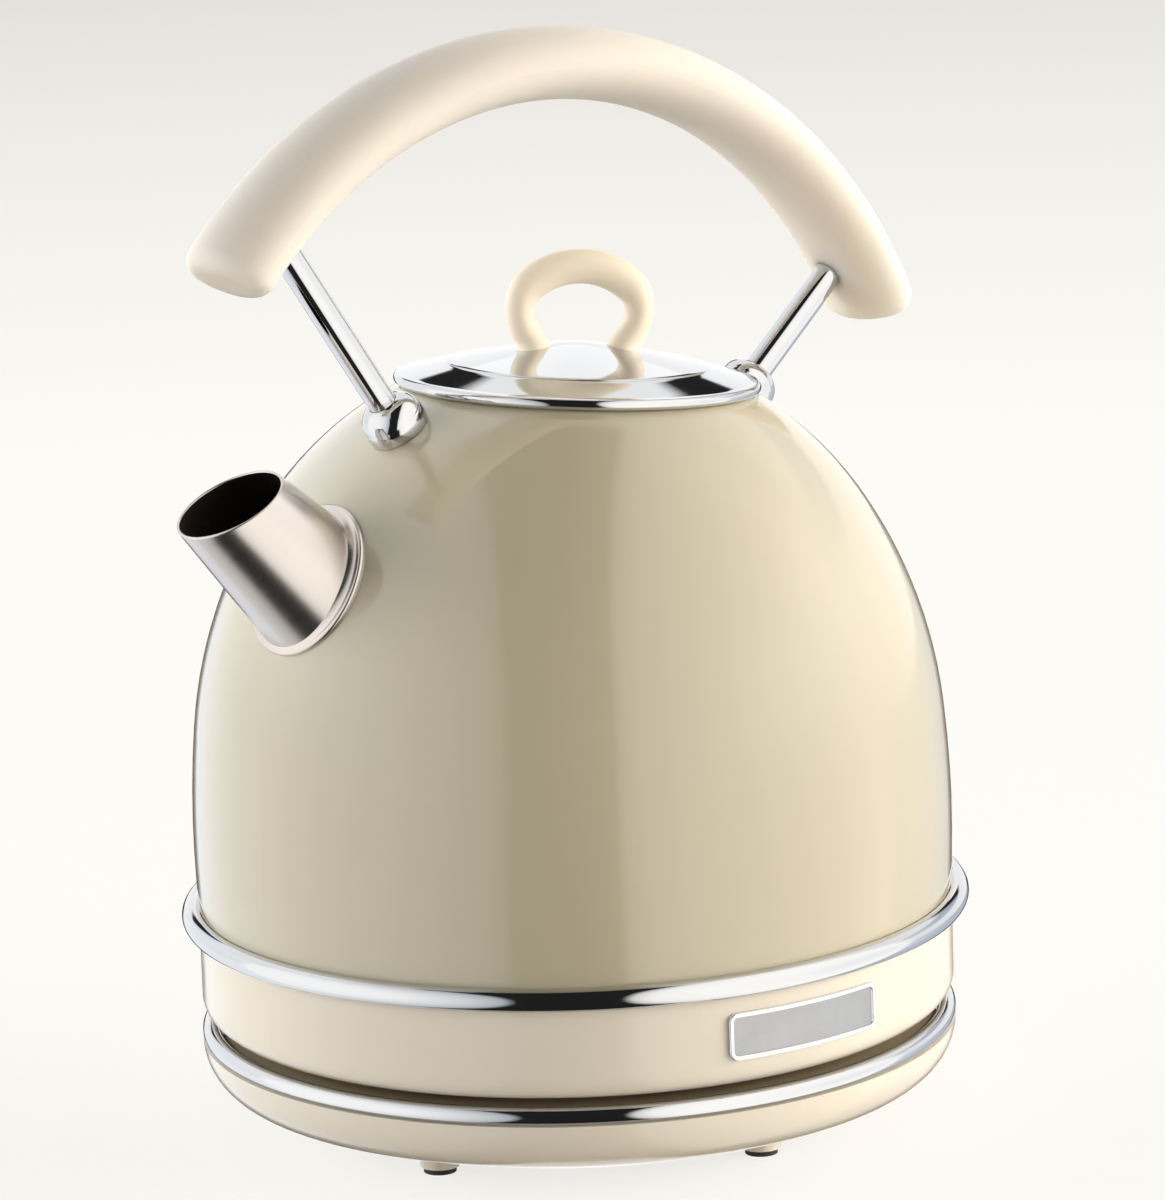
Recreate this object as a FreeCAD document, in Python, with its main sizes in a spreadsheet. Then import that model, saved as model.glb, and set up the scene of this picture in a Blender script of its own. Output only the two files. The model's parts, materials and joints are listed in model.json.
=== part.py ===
import FreeCAD, Part
import math
import operator
import os
from types import SimpleNamespace

import Sketcher

# Dome kettle on a swivel power base. Millimetres and degrees.
# +Z is up, +X points to the spout, the origin lies on the kettle's axis at the table.

doc = FreeCAD.newDocument("dome_kettle")


# Driving dimensions

driving = {
    # power base
    "foot_pad_height": 1.5,
    "foot_pad_radius": 4.2,
    "foot_boss_radius": 5.0,
    "foot_inset": 28.9,
    "foot_angle": 21.0,
    "bowl_floor": 3.0,
    "bowl_wall": 2.4,
    "bowl_overhang": 0.3,
    "bowl_rim": 22.2,
    "bowl_bend": 14.0,
    "bowl_slope_angle": 18.0,
    "base_bead": 2.4,
    "base_bead_rise": 2.1,
    "trim_flange": 1.0,
    "trim_depth": 4.5,
    "deck_thickness": 2.2,
    "deck_boss_radius": 3.8,
    "deck_boss_inset": 46.9,
    "deck_boss_angle": 60.0,
    "collar_wall": 2.4,
    "collar_rise": 2.0,
    "post_radius": 16.5,
    "post_rise": 8.2,
    "post_depth": 3.0,
    "pin_radius": 2.0,
    "pin_hole": 4.0,
    "groove_inner": 9.0,
    "groove_outer": 13.0,
    "groove_depth": 6.0,
    "contact_wall": 0.9,
    "gland_radius": 5.5,
    "gland_bore": 3.6,
    "gland_height": 14.0,
    "gland_length": 15.0,
    "gland_collar": 1.4,
    "gland_collar_width": 2.0,
    "screw_radius": 1.5,
    "screw_head_radius": 3.2,
    "screw_head": 1.6,
    "screw_length": 10.0,
    # kettle underside
    "socket_wall": 3.6,
    "socket_roof": 1.8,
    "rib_inset": 38.6,
    "rib_width": 4.0,
    "cover_thickness": 2.2,
    "skirt_step": 0.46,
    "skirt_wall": 2.4,
    "skirt_bend": 6.0,
    "skirt_bottom": 28.2,
    "skirt_lip_depth": 12.6,
    "belt_height": 55.2,
    "belt_bead": 2.94,
    "belt_overhang": 1.46,
    "belt_flange": 1.0,
    "belt_depth": 6.1,
    "seal_base": 2.2,
    "seal_lip": 1.6,
    "seal_grip": 2.0,
    "plate_inset": 3.1,
    "plate_thickness": 1.2,
    "diffuser_gap": 7.0,
    "diffuser_thickness": 3.0,
    "element_inset": 10.0,
    "element_width": 7.0,
    "element_height": 5.0,
    "element_angle": 300.0,
    "control_gap": 9.5,
    "stud_radius": 3.2,
    "stud_inset": 23.6,
    "stud_angle": 30.0,
    "steam_inset": 36.6,
    "steam_radius": 5.0,
    "steam_wall": 1.0,
    "steam_drop": 9.7,
    "steam_headroom": 20.5,
    # dome: widest at its belly, with a side arc, a shoulder arc and a ball-shaped crown
    "dome_radius": 99.06,
    "belly_height": 75.44,
    "shoulder_angle": 58.0,
    "shoulder_radius": 123.3,
    "side_angle": 84.25,
    "side_radius": 294.7,
    "shell_wall": 0.8,
    # lid and filling mouth, on an axis that leans back
    "lid_angle": 4.5,
    "lid_seat": 1.27,
    "lid_radius": 47.56,
    "lid_bead": 1.4,
    "lid_sheet": 0.8,
    "lid_band": 13.76,
    "crease_height": 6.8,
    "crease_step": 0.45,
    "crease_width": 0.45,
    "lid_height": 10.8,
    "neck_inset": 4.56,
    "neck_wall": 0.8,
    "neck_depth": 13.0,
    "neck_top": 1.0,
    "neck_flange": 4.0,
    "plug_gap": 3.0,
    "plug_depth": 7.0,
    "plug_flange": 0.7,
    "seal_width": 3.0,
    "seal_height": -4.0,
    "knob_turn_angle": 27.3,
    "knob_tube": 4.1,
    "knob_foot": 11.6,
    "knob_foot_height": 7.2,
    "knob_half_width": 15.7,
    "knob_wide_height": 20.2,
    "knob_top": 31.2,
    "knob_corner": 8.5,
    "knob_screw_rise": 5.0,
    # handle
    "grip_centre": 8.0,
    "grip_rise": 43.1,
    "grip_stand": 29.9,
    "grip_half_depth": 9.3,
    "grip_half_width": 15.1,
    "grip_front_angle": 50.0,
    "grip_back_angle": 68.0,
    "grip_end_round": 4.5,
    "rod_radius": 3.75,
    "rod_embed": 8.0,
    "rod_stud": 2.4,
    "rod_stud_length": 8.5,
    "front_rod_share": 0.2523,
    "front_rod_angle": 33.4,
    "back_rod_share": 0.236,
    "back_rod_angle": 48.0,
    "boss_radius": 7.9,
    "boss_height": 8.8,
    "boss_middle": 4.0,
    "boss_top_bend": 5.6,
    "boss_foot_bend": 9.0,
    "boss_foot_radius": 6.2,
    "nut_radius": 5.0,
    "nut_height": 3.6,
    "nut_drop": 2.4,
    # spout
    "spout_place_angle": 29.5,
    "spout_angle": 45.0,
    "spout_root_radius": 17.2,
    "spout_taper_angle": 6.0,
    "spout_wall": 0.8,
    "spout_length": 31.0,
    "spout_inner_length": 8.0,
    "mouth_angle": 26.4,
    "flange_reach": 3.1,
    "flange_edge": 1.4,
    "flange_round": 1.0,
    "flange_ball": 104.0,
    "flange_sink": 5.0,
    "flare_reach": 1.6,
    "flare_rise": 5.0,
    "flare_bend": 5.0,
    # limescale filter
    "filter_wall": 1.0,
    "filter_reach": 2.0,
    "filter_flange_width": 1.7,
    "filter_lip": 0.4,
    "filter_lip_width": 1.2,
    "mesh_thickness": 0.4,
    # switch lever
    "pivot_inset": 14.6,
    "pivot_height": 42.0,
    "pivot_radius": 1.5,
    "hub_radius": 4.0,
    "neck_half_width": 7.0,
    "paddle_half_width": 13.0,
    "paddle_gap": 1.6,
    "paddle_length": 15.8,
    "paddle_corner": 4.0,
    "paddle_thickness": 4.0,
    "paddle_edge": 1.2,
    "lever_angle": 12.0,
    "bracket_width": 4.0,
    "bracket_depth": 8.0,
    "bracket_top": 4.0,
    # badge
    "badge_angle": 88.0,
    "badge_height": 41.8,
    "badge_width": 46.2,
    "badge_tall": 12.3,
    "badge_thickness": 1.2,
    "badge_corner": 2.0,
    "badge_border": 1.2,
    "badge_recess": 0.5,
    # clearances
    "seat_gap": 0.3,
    "fit_gap": 0.1,
    "contact_gap": 0.5,
    "edge_gap": 0.4,
}

foot_count = 5
screw_count = 3
tiny = 0.001


# A size is a number with the expression that the document keeps for it

class Size:
    def __init__(self, text, value):
        self.text = text
        self.value = value

    def __add__(self, other):
        return combine(self, "+", other)

    def __radd__(self, other):
        return combine(other, "+", self)

    def __sub__(self, other):
        return combine(self, "-", other)

    def __rsub__(self, other):
        return combine(other, "-", self)

    def __mul__(self, other):
        return combine(self, "*", other)

    def __rmul__(self, other):
        return combine(other, "*", self)

    def __truediv__(self, other):
        return combine(self, "/", other)

    def __neg__(self):
        return combine(0, "-", self)


signs = {"+": operator.add, "-": operator.sub, "*": operator.mul, "/": operator.truediv}


def size(thing):
    if isinstance(thing, Size):
        return thing
    return Size("(%r)" % float(thing), float(thing))


def combine(left, sign, right):
    left = size(left)
    right = size(right)
    text = "(%s %s %s)" % (left.text, sign, right.text)
    return Size(text, signs[sign](left.value, right.value))


def sine(angle):
    angle = size(angle)
    return Size("sin(%s)" % angle.text, math.sin(math.radians(angle.value)))


def cosine(angle):
    angle = size(angle)
    return Size("cos(%s)" % angle.text, math.cos(math.radians(angle.value)))


def root(number):
    number = size(number)
    return Size("sqrt(%s)" % number.text, math.sqrt(number.value))


sheet = doc.addObject("Spreadsheet::Sheet", "dims")
for row, (alias, number) in enumerate(driving.items(), start=1):
    sheet.set("A%d" % row, alias)
    sheet.set("B%d" % row, str(number))
    sheet.setAlias("B%d" % row, alias)
doc.recompute()
d = SimpleNamespace(**{alias: Size("dims." + alias, float(sheet.get(alias))) for alias in driving})


# Sketch and feature helpers

def new_sketch(body, name, plane):
    sketch = body.newObject("Sketcher::SketchObject", name)
    sketch.AttachmentSupport = ([f for f in body.Origin.OriginFeatures if f.Role == plane][0], [""])
    sketch.MapMode = "FlatFace"
    return sketch


def hold(sketch, constraint, name, amount):
    # Adds one dimension to a sketch and ties it to the sheet.
    index = sketch.addConstraint(constraint)
    sketch.renameConstraint(index, name)
    sketch.setExpression("Constraints." + name, amount.text)


def pin_point(sketch, edge, end, x, y, name):
    # Fixes a sketch point; a point on an axis is held by the axis itself.
    across = size(x)
    up = size(y)
    if across.value == 0:
        sketch.addConstraint(Sketcher.Constraint("PointOnObject", edge, end, -2))
    else:
        hold(sketch, Sketcher.Constraint("DistanceX", -1, 1, edge, end, across.value), "x" + name, across)
    if up.value == 0:
        sketch.addConstraint(Sketcher.Constraint("PointOnObject", edge, end, -1))
    else:
        hold(sketch, Sketcher.Constraint("DistanceY", -1, 1, edge, end, up.value), "y" + name, up)


def bent_edge(start, end, bend):
    # An arc from start to end; a positive bend turns left, a negative one right.
    middle = (start + end) * 0.5
    chord = end - start
    left = FreeCAD.Vector(-chord.y, chord.x, 0).normalize()
    rise = math.sqrt(max(bend * bend - chord.Length ** 2 / 4, 0))
    centre = middle + left * math.copysign(rise, bend)
    first, last = (start, end) if bend > 0 else (end, start)
    angles = [math.atan2(p.y - centre.y, p.x - centre.x) for p in (first, last)]
    circle = Part.Circle(centre, FreeCAD.Vector(0, 0, 1), abs(bend))
    return Part.ArcOfCircle(circle, angles[0], angles[1])


def draw(sketch, corners, closed=True):
    # Corners are (x, y), or (x, y, bend) where an arc leads to them from the corner before.
    corners = [tuple(corner) + (None,) * (3 - len(corner)) for corner in corners]
    points = [FreeCAD.Vector(size(x).value, size(y).value, 0) for x, y, bend in corners]
    first = 0 if closed else 1
    edges = []
    ends = []
    for i in range(first, len(corners)):
        bend = corners[i][2]
        if bend is None:
            edges.append(Part.LineSegment(points[i - 1], points[i]))
            ends.append((1, 2))
        else:
            edges.append(bent_edge(points[i - 1], points[i], size(bend).value))
            ends.append((1, 2) if size(bend).value > 0 else (2, 1))
    sketch.addGeometry(edges, False)
    for i in range(0 if closed else 1, len(edges)):
        sketch.addConstraint(Sketcher.Constraint("Coincident", i - 1 if i else len(edges) - 1,
                                                 ends[i - 1][1], i, ends[i][0]))
    if not closed:
        pin_point(sketch, 0, ends[0][0], corners[0][0], corners[0][1], "_start")
    for i in range(len(edges)):
        x, y, bend = corners[i + first]
        pin_point(sketch, i, ends[i][1], x, y, str(i))
        if bend is not None:
            amount = bend if size(bend).value > 0 else -bend
            hold(sketch, Sketcher.Constraint("Radius", i, amount.value), "bend%d" % i, amount)


def turned(name, corners, sweep=None):
    # A profile of (radius, height) turned about the Z axis.
    body = doc.addObject("PartDesign::Body", name)
    sketch = new_sketch(body, name + "_profile", "XZ_Plane")
    draw(sketch, corners)
    turn = body.newObject("PartDesign::Revolution", name + "_turn")
    turn.Profile = sketch
    turn.ReferenceAxis = (sketch, ["V_Axis"])
    turn.Angle = 360
    if sweep is not None:
        turn.Midplane = True
        turn.setExpression("Angle", sweep.text)
    return body


def rod(name, radius, length, x=0, y=0, z=0, turn=None):
    # A plain cylinder; turn is an (axis, angle) pair.
    cylinder = doc.addObject("Part::Cylinder", name)
    cylinder.setExpression("Radius", size(radius).text)
    cylinder.setExpression("Height", size(length).text)
    put(cylinder, x, y, z, turn)
    return cylinder


def block(name, length, width, height):
    # A plain box with its first corner at the origin.
    box = doc.addObject("Part::Box", name)
    box.setExpression("Length", length.text)
    box.setExpression("Width", width.text)
    box.setExpression("Height", height.text)
    return box


def put(thing, x, y, z, turn=None):
    # Places an object; the angle of its turn stays tied to the sheet.
    spot = [size(x), size(y), size(z)]
    rotation = FreeCAD.Rotation()
    if turn is not None:
        rotation = FreeCAD.Rotation(FreeCAD.Vector(*turn[0]), size(turn[1]).value)
    thing.Placement = FreeCAD.Placement(FreeCAD.Vector(*[s.value for s in spot]), rotation)
    for letter, amount in zip("xyz", spot):
        thing.setExpression("Placement.Base." + letter, amount.text)
    if turn is not None:
        thing.setExpression("Placement.Rotation.Angle", size(turn[1]).text)
    return thing


def fuse(name, *shapes):
    joined = doc.addObject("Part::MultiFuse", name)
    joined.Shapes = list(shapes)
    return joined


def cut(name, base, *tools):
    result = doc.addObject("Part::Cut", name)
    result.Base = base
    result.Tool = tools[0] if len(tools) == 1 else fuse(name + "_tools", *tools)
    return result


def group(name, *shapes):
    bundle = doc.addObject("Part::Compound", name)
    bundle.Links = list(shapes)
    return bundle


def around(count, circle, start):
    # Places evenly spaced on a circle, as (x, y) pairs.
    angles = [start + 360.0 * i / count for i in range(count)]
    return [(circle * cosine(angle), circle * sine(angle)) for angle in angles]


def round_edges(body, name, wanted, radius):
    # Rounds the edges of a body's last feature that pass the test.
    doc.recompute()
    base = body.Tip
    names = ["Edge%d" % (i + 1) for i, edge in enumerate(base.Shape.Edges) if wanted(edge)]
    rounding = body.newObject("PartDesign::Fillet", name)
    rounding.Base = (base, names)
    rounding.setExpression("Radius", radius.text)
    return rounding


# Sizes that follow from the driving ones; the document keeps each of them by name

derived = doc.addObject("App::VarSet", "derived")


def keep(name, amount):
    derived.addProperty("App::PropertyFloat", name)
    derived.setExpression(name, amount.text)
    return Size("derived." + name, amount.value)


# Dome arcs from the belly up: each arc's centre is placed so that it runs into the next
side_x = keep("side_x", d.dome_radius - d.side_radius)
side_z = d.belly_height
shoulder_x = keep("shoulder_x", side_x + (d.side_radius - d.shoulder_radius) * sine(d.side_angle))
shoulder_z = keep("shoulder_z", side_z + (d.side_radius - d.shoulder_radius) * cosine(d.side_angle))
crown_radius = keep("crown_radius", d.shoulder_radius + shoulder_x / sine(d.shoulder_angle))
crown_drop = (d.shoulder_radius - crown_radius) * cosine(d.shoulder_angle)
crown_height = keep("crown_height", shoulder_z + crown_drop)

# Circles of the base and the underside, from the dome's width inwards
skirt_radius = keep("skirt_radius", d.dome_radius - d.skirt_step)
skirt_lip = skirt_radius - d.skirt_lip_depth
belt_circle = keep("belt_circle", skirt_radius + d.belt_overhang)
belt_reach = skirt_radius - d.belt_depth
plate_edge = skirt_radius - d.plate_inset
stud_circle = skirt_radius - d.stud_inset
rib_circle = skirt_radius - d.rib_inset
steam_offset = keep("steam_offset", skirt_radius - d.steam_inset)
diffuser_radius = steam_offset - d.steam_radius - d.diffuser_gap
element_circle = diffuser_radius - d.element_inset
control_radius = element_circle - d.element_width / 2 - d.control_gap
bowl_radius = keep("bowl_radius", skirt_radius + d.bowl_overhang)
base_bead_circle = keep("base_bead_circle", bowl_radius - d.base_bead)
trim_reach = base_bead_circle - d.trim_depth
foot_circle = bowl_radius - d.foot_inset
deck_boss_circle = bowl_radius - d.deck_boss_inset
pivot_offset = keep("pivot_offset", skirt_radius - d.pivot_inset)
paddle_start = keep("paddle_start", skirt_radius + d.paddle_gap)
paddle_end = keep("paddle_end", paddle_start + d.paddle_length)

# Levels from the table up
deck_bottom = keep("deck_bottom", d.bowl_rim + d.trim_flange)
deck_top = keep("deck_top", deck_bottom + d.deck_thickness)
floor_top = d.bowl_floor + d.bowl_wall
post_top = keep("post_top", deck_top + d.post_rise)
collar_top = deck_top + d.collar_rise
socket_ceiling = post_top + d.contact_gap
socket_top = socket_ceiling + d.socket_roof
cover_bottom = d.skirt_bottom + d.skirt_wall
cover_top = cover_bottom + d.cover_thickness
skirt_top = keep("skirt_top", d.belt_height - d.belt_flange / 2)
shell_bottom = keep("shell_bottom", d.belt_height + d.belt_flange / 2)
plate_bottom = keep("plate_bottom", shell_bottom + d.seal_base)
plate_top = plate_bottom + d.plate_thickness
diffuser_bottom = plate_bottom - d.diffuser_thickness

# Power post and the socket that drops over it
deck_hole = d.post_radius + d.seat_gap
socket_bore = d.post_radius + d.contact_gap
socket_radius = socket_bore + d.socket_wall

# Lid, filling mouth, handle feet and spout
neck_radius = keep("neck_radius", d.lid_radius - d.neck_inset)
plug_radius = neck_radius - d.plug_gap
crease_radius = d.lid_radius - d.lid_band
mouth_radius = neck_radius + d.seat_gap * 2
lid_seat = root(crown_radius * crown_radius - d.lid_radius * d.lid_radius)
lid_rise = keep("lid_rise", lid_seat + d.lid_seat)
lid_x = keep("lid_x", -lid_rise * sine(d.lid_angle))
lid_z = keep("lid_z", crown_height + lid_rise * cosine(d.lid_angle))
crown_edge = crown_radius * sine(d.shoulder_angle)
front_rim = d.lid_radius + lid_x
back_rim = d.lid_radius - lid_x
front_rod_foot = keep("front_rod_foot", front_rim + (crown_edge - front_rim) * d.front_rod_share)
back_rod_foot = keep("back_rod_foot", back_rim + (crown_edge - back_rim) * d.back_rod_share)
grip_height = keep("grip_height", crown_height + d.grip_rise)
grip_radius = keep("grip_radius", crown_radius + d.grip_stand)
spout_x = keep("spout_x", shoulder_x + d.shoulder_radius * cosine(d.spout_place_angle))
spout_z = keep("spout_z", shoulder_z + d.shoulder_radius * sine(d.spout_place_angle))
flange_radius = d.spout_root_radius + d.flange_reach
flare_radius = d.spout_root_radius + d.flare_reach
filter_radius = d.spout_root_radius - d.spout_wall - d.contact_gap
filter_flange = d.spout_root_radius + d.contact_gap


def side_at(height, inset):
    # Radius of the dome's lower wall at a height, inset from the outside.
    return side_x + root((d.side_radius - inset) * (d.side_radius - inset)
                         - (height - side_z) * (height - side_z))


def crown_at(radius, inset):
    # Height above the lid's rim plane of the dome's crown, at a radius from the lid's axis.
    ball = crown_radius - inset
    return root(ball * ball - radius * radius) - lid_rise


def crown_z(x):
    return crown_height + root(crown_radius * crown_radius - x * x)


steam_bottom = shell_bottom - d.steam_drop
steam_top = keep("steam_top", crown_z(steam_offset) - d.steam_headroom)


# Frames: a point in the XZ plane and a lean about Y

lean_back = (0, -1, 0)
lean_front = (0, 1, 0)
turn_left = (1, 0, 0)
upright = (0, 0, 1)
clockwise = (0, 0, -1)
quarter = size(90)


def on_lid(thing):
    return put(thing, lid_x, 0, lid_z, (lean_back, d.lid_angle))


def on_spout(thing):
    return put(thing, spout_x, 0, spout_z, (lean_front, d.spout_angle))


def on_rod(thing, side):
    if side == "front":
        return put(thing, front_rod_foot, 0, crown_z(front_rod_foot), (lean_front, d.front_rod_angle))
    return put(thing, -back_rod_foot, 0, crown_z(back_rod_foot), (lean_back, d.back_rod_angle))


# Power base

foot_places = around(foot_count, foot_circle, d.foot_angle)
base_screw_places = around(screw_count, deck_boss_circle, d.deck_boss_angle)
cover_screw_places = around(screw_count, stud_circle, d.stud_angle)
screw_hole = d.screw_radius + d.fit_gap


def base_bowl():
    centre = bowl_radius - d.bowl_bend
    thin = d.bowl_bend - d.bowl_wall
    slope = sine(d.bowl_slope_angle) / cosine(d.bowl_slope_angle)
    knee_x = centre + d.bowl_bend * sine(d.bowl_slope_angle)
    knee_z = d.bowl_rim - d.bowl_bend * cosine(d.bowl_slope_angle)
    inner_x = centre + thin * sine(d.bowl_slope_angle)
    inner_z = d.bowl_rim - thin * cosine(d.bowl_slope_angle)
    shell = turned("bowl_shell", [
        (0, d.bowl_floor),
        (knee_x - (knee_z - d.bowl_floor) / slope, d.bowl_floor),
        (knee_x, knee_z),
        (bowl_radius, d.bowl_rim, d.bowl_bend),
        (bowl_radius - d.bowl_wall, d.bowl_rim),
        (inner_x, inner_z, -thin),
        (inner_x - (inner_z - floor_top) / slope, floor_top),
        (0, floor_top),
    ])
    foot_height = floor_top - d.foot_pad_height
    feet = [rod("foot_boss%d" % i, d.foot_boss_radius, foot_height, x, y, d.foot_pad_height)
            for i, (x, y) in enumerate(foot_places)]
    hole_start = d.bowl_floor - d.bowl_wall / 2
    holes = [rod("floor_hole%d" % i, screw_hole, d.bowl_wall * 2, x, y, hole_start)
             for i, (x, y) in enumerate(base_screw_places)]
    entry = rod("cord_entry", d.gland_radius + d.fit_gap, bowl_radius, 0, 0, d.gland_height,
                (lean_back, quarter))
    return cut("base_bowl", fuse("bowl_with_feet", shell, *feet), entry, *holes)


def foot_pads():
    return group("foot_pads", *[
        rod("foot_pad%d" % i, d.foot_pad_radius, d.foot_pad_height, x, y, 0)
        for i, (x, y) in enumerate(foot_places)])


def base_trim_ring():
    height = d.bowl_rim + d.base_bead_rise
    seat_out = base_bead_circle + root(d.base_bead * d.base_bead - d.base_bead_rise * d.base_bead_rise)
    flange_top = root(d.base_bead * d.base_bead - (height - deck_bottom) * (height - deck_bottom))
    return turned("base_trim_ring", [
        (trim_reach, d.bowl_rim),
        (seat_out, d.bowl_rim),
        (base_bead_circle + d.base_bead, height, d.base_bead),
        (base_bead_circle, height + d.base_bead, d.base_bead),
        (base_bead_circle - flange_top, deck_bottom, d.base_bead),
        (trim_reach, deck_bottom),
    ])


def base_deck():
    edge = base_bead_circle - d.base_bead - d.edge_gap
    plate = turned("deck_plate", [
        (deck_hole, deck_bottom),
        (edge, deck_bottom),
        (edge, deck_top),
        (deck_hole, deck_top),
    ])
    boss_height = deck_bottom - floor_top + d.deck_thickness / 2
    bosses = [rod("deck_boss%d" % i, d.deck_boss_radius, boss_height, x, y, floor_top)
              for i, (x, y) in enumerate(base_screw_places)]
    bores = [rod("deck_bore%d" % i, screw_hole, d.screw_length, x, y, d.bowl_floor)
             for i, (x, y) in enumerate(base_screw_places)]
    return cut("base_deck", fuse("deck_with_bosses", plate, *bosses), *bores)


def base_screws():
    screws = []
    for i, (x, y) in enumerate(base_screw_places):
        head = rod("base_head%d" % i, d.screw_head_radius, d.screw_head, x, y, d.bowl_floor - d.screw_head)
        shank = rod("base_shank%d" % i, d.screw_radius, d.screw_length - d.seat_gap, x, y, d.bowl_floor)
        screws.append(fuse("base_screw%d" % i, head, shank))
    return group("base_screws", *screws)


def base_connector():
    # Dropped into the deck's hole from above, down to its collar.
    collar = deck_hole + d.collar_wall
    groove_floor = post_top - d.groove_depth
    return turned("base_connector", [
        (0, deck_bottom - d.post_depth),
        (d.post_radius, deck_bottom - d.post_depth),
        (d.post_radius, deck_top),
        (collar, deck_top),
        (collar, collar_top),
        (d.post_radius, collar_top),
        (d.post_radius, post_top),
        (d.groove_outer, post_top),
        (d.groove_outer, groove_floor),
        (d.groove_inner, groove_floor),
        (d.groove_inner, post_top),
        (d.pin_hole, post_top),
        (d.pin_hole, groove_floor),
        (0, groove_floor),
    ])


def connector_contacts():
    floor = post_top - d.groove_depth
    pin = rod("live_pin", d.pin_radius, d.groove_depth - d.contact_gap, 0, 0, floor)
    ring = turned("ring_contact", [
        (d.groove_outer - d.fit_gap - d.contact_wall, floor),
        (d.groove_outer - d.fit_gap, floor),
        (d.groove_outer - d.fit_gap, post_top - d.contact_gap),
        (d.groove_outer - d.fit_gap - d.contact_wall, post_top - d.contact_gap),
    ])
    return group("connector_contacts", pin, ring)


def cord_gland():
    outer = bowl_radius + d.seat_gap
    bush = turned("cord_gland", [
        (d.gland_bore, outer - d.gland_length),
        (d.gland_radius, outer - d.gland_length),
        (d.gland_radius, outer),
        (d.gland_radius + d.gland_collar, outer),
        (d.gland_radius + d.gland_collar, outer + d.gland_collar_width),
        (d.gland_bore, outer + d.gland_collar_width),
    ])
    return put(bush, 0, 0, d.gland_height, (lean_back, quarter))


# Socket under the kettle

def cordless_socket():
    low = collar_top + d.contact_gap
    return turned("cordless_socket", [
        (0, socket_ceiling),
        (socket_bore, socket_ceiling),
        (socket_bore, low),
        (socket_radius, low),
        (socket_radius, socket_top),
        (0, socket_top),
    ])


def socket_contacts():
    blade_in = d.groove_inner + d.contact_gap
    sleeve_in = d.pin_radius + d.contact_gap
    low = post_top - d.groove_depth + d.contact_gap
    rings = []
    for name, inner in (("ring_blade", blade_in), ("pin_sleeve", sleeve_in)):
        outer = inner + d.contact_wall
        rings.append(turned(name, [
            (inner, low),
            (outer, low),
            (outer, socket_ceiling),
            (inner, socket_ceiling),
        ]))
    return group("socket_contacts", *rings)


# Kettle underside

def skirt():
    inner = skirt_radius - d.skirt_wall
    turn_in = skirt_radius - d.skirt_bend
    bend_z = d.skirt_bottom + d.skirt_bend
    band = turned("skirt_band", [
        (skirt_lip, d.skirt_bottom),
        (turn_in, d.skirt_bottom),
        (skirt_radius, bend_z, d.skirt_bend),
        (skirt_radius, skirt_top),
        (inner, skirt_top),
        (inner, bend_z),
        (turn_in, cover_bottom, -(d.skirt_bend - d.skirt_wall)),
        (skirt_lip, cover_bottom),
    ])
    half = d.paddle_thickness / 2 + d.contact_gap
    drop = (skirt_radius - pivot_offset) * sine(d.lever_angle)
    side = d.neck_half_width + d.contact_gap
    slot = block("lever_slot", d.skirt_wall * 4, side * 2, half * 2 + drop)
    put(slot, -skirt_radius - d.skirt_wall, -side, d.pivot_height - half - drop)
    return cut("skirt", band, slot)


def belt_ring():
    # A round bead whose flat back stands just off the skirt and the dome.
    back = skirt_radius + d.fit_gap
    half = root(d.belt_bead * d.belt_bead - (belt_circle - back) * (belt_circle - back))
    return turned("belt_ring", [
        (belt_reach, skirt_top),
        (back, skirt_top),
        (back, d.belt_height - half),
        (belt_circle, d.belt_height - d.belt_bead, d.belt_bead),
        (belt_circle + d.belt_bead, d.belt_height, d.belt_bead),
        (belt_circle, d.belt_height + d.belt_bead, d.belt_bead),
        (back, d.belt_height + half, d.belt_bead),
        (back, shell_bottom),
        (belt_reach, shell_bottom),
    ])


def bottom_cover():
    hole = socket_radius + d.contact_gap
    edge = skirt_radius - d.skirt_bend - d.edge_gap
    rib_in = rib_circle - d.rib_width / 2
    rib_out = rib_circle + d.rib_width / 2
    rib_low = deck_top + d.seat_gap
    plate = turned("cover_plate", [
        (hole, cover_bottom),
        (rib_in, cover_bottom),
        (rib_in, rib_low),
        (rib_out, rib_low),
        (rib_out, cover_bottom),
        (edge, cover_bottom),
        (edge, cover_top),
        (hole, cover_top),
    ])
    posts = []
    for side, place in (("left", d.neck_half_width + d.seat_gap),
                        ("right", -d.neck_half_width - d.seat_gap - d.bracket_width)):
        height = d.pivot_height + d.bracket_top - cover_bottom
        post = block(side + "_post", d.bracket_depth, d.bracket_width, height)
        posts.append(put(post, -pivot_offset - d.bracket_depth / 2, place, cover_bottom))
    hole_start = cover_bottom - d.cover_thickness / 2
    holes = [rod("cover_hole%d" % i, screw_hole, d.cover_thickness * 2, x, y, hole_start)
             for i, (x, y) in enumerate(cover_screw_places)]
    blank = fuse("cover_with_posts", plate, *posts)
    return cut("bottom_cover", blank, pivot_bore("post_bore", d.fit_gap), *holes)


def pivot_bore(name, gap):
    half = d.neck_half_width + d.seat_gap + d.bracket_width
    return rod(name, d.pivot_radius + gap, half * 2, -pivot_offset, half, d.pivot_height,
               (turn_left, quarter))


def switch_pin():
    return pivot_bore("switch_pin", size(0))


def plate_studs():
    studs = []
    for i, (x, y) in enumerate(cover_screw_places):
        stud = rod("stud_blank%d" % i, d.stud_radius, plate_bottom - cover_top, x, y, cover_top)
        bore = rod("stud_bore%d" % i, screw_hole, d.screw_length, x, y, cover_bottom)
        studs.append(cut("stud%d" % i, stud, bore))
    return group("plate_studs", *studs)


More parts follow.
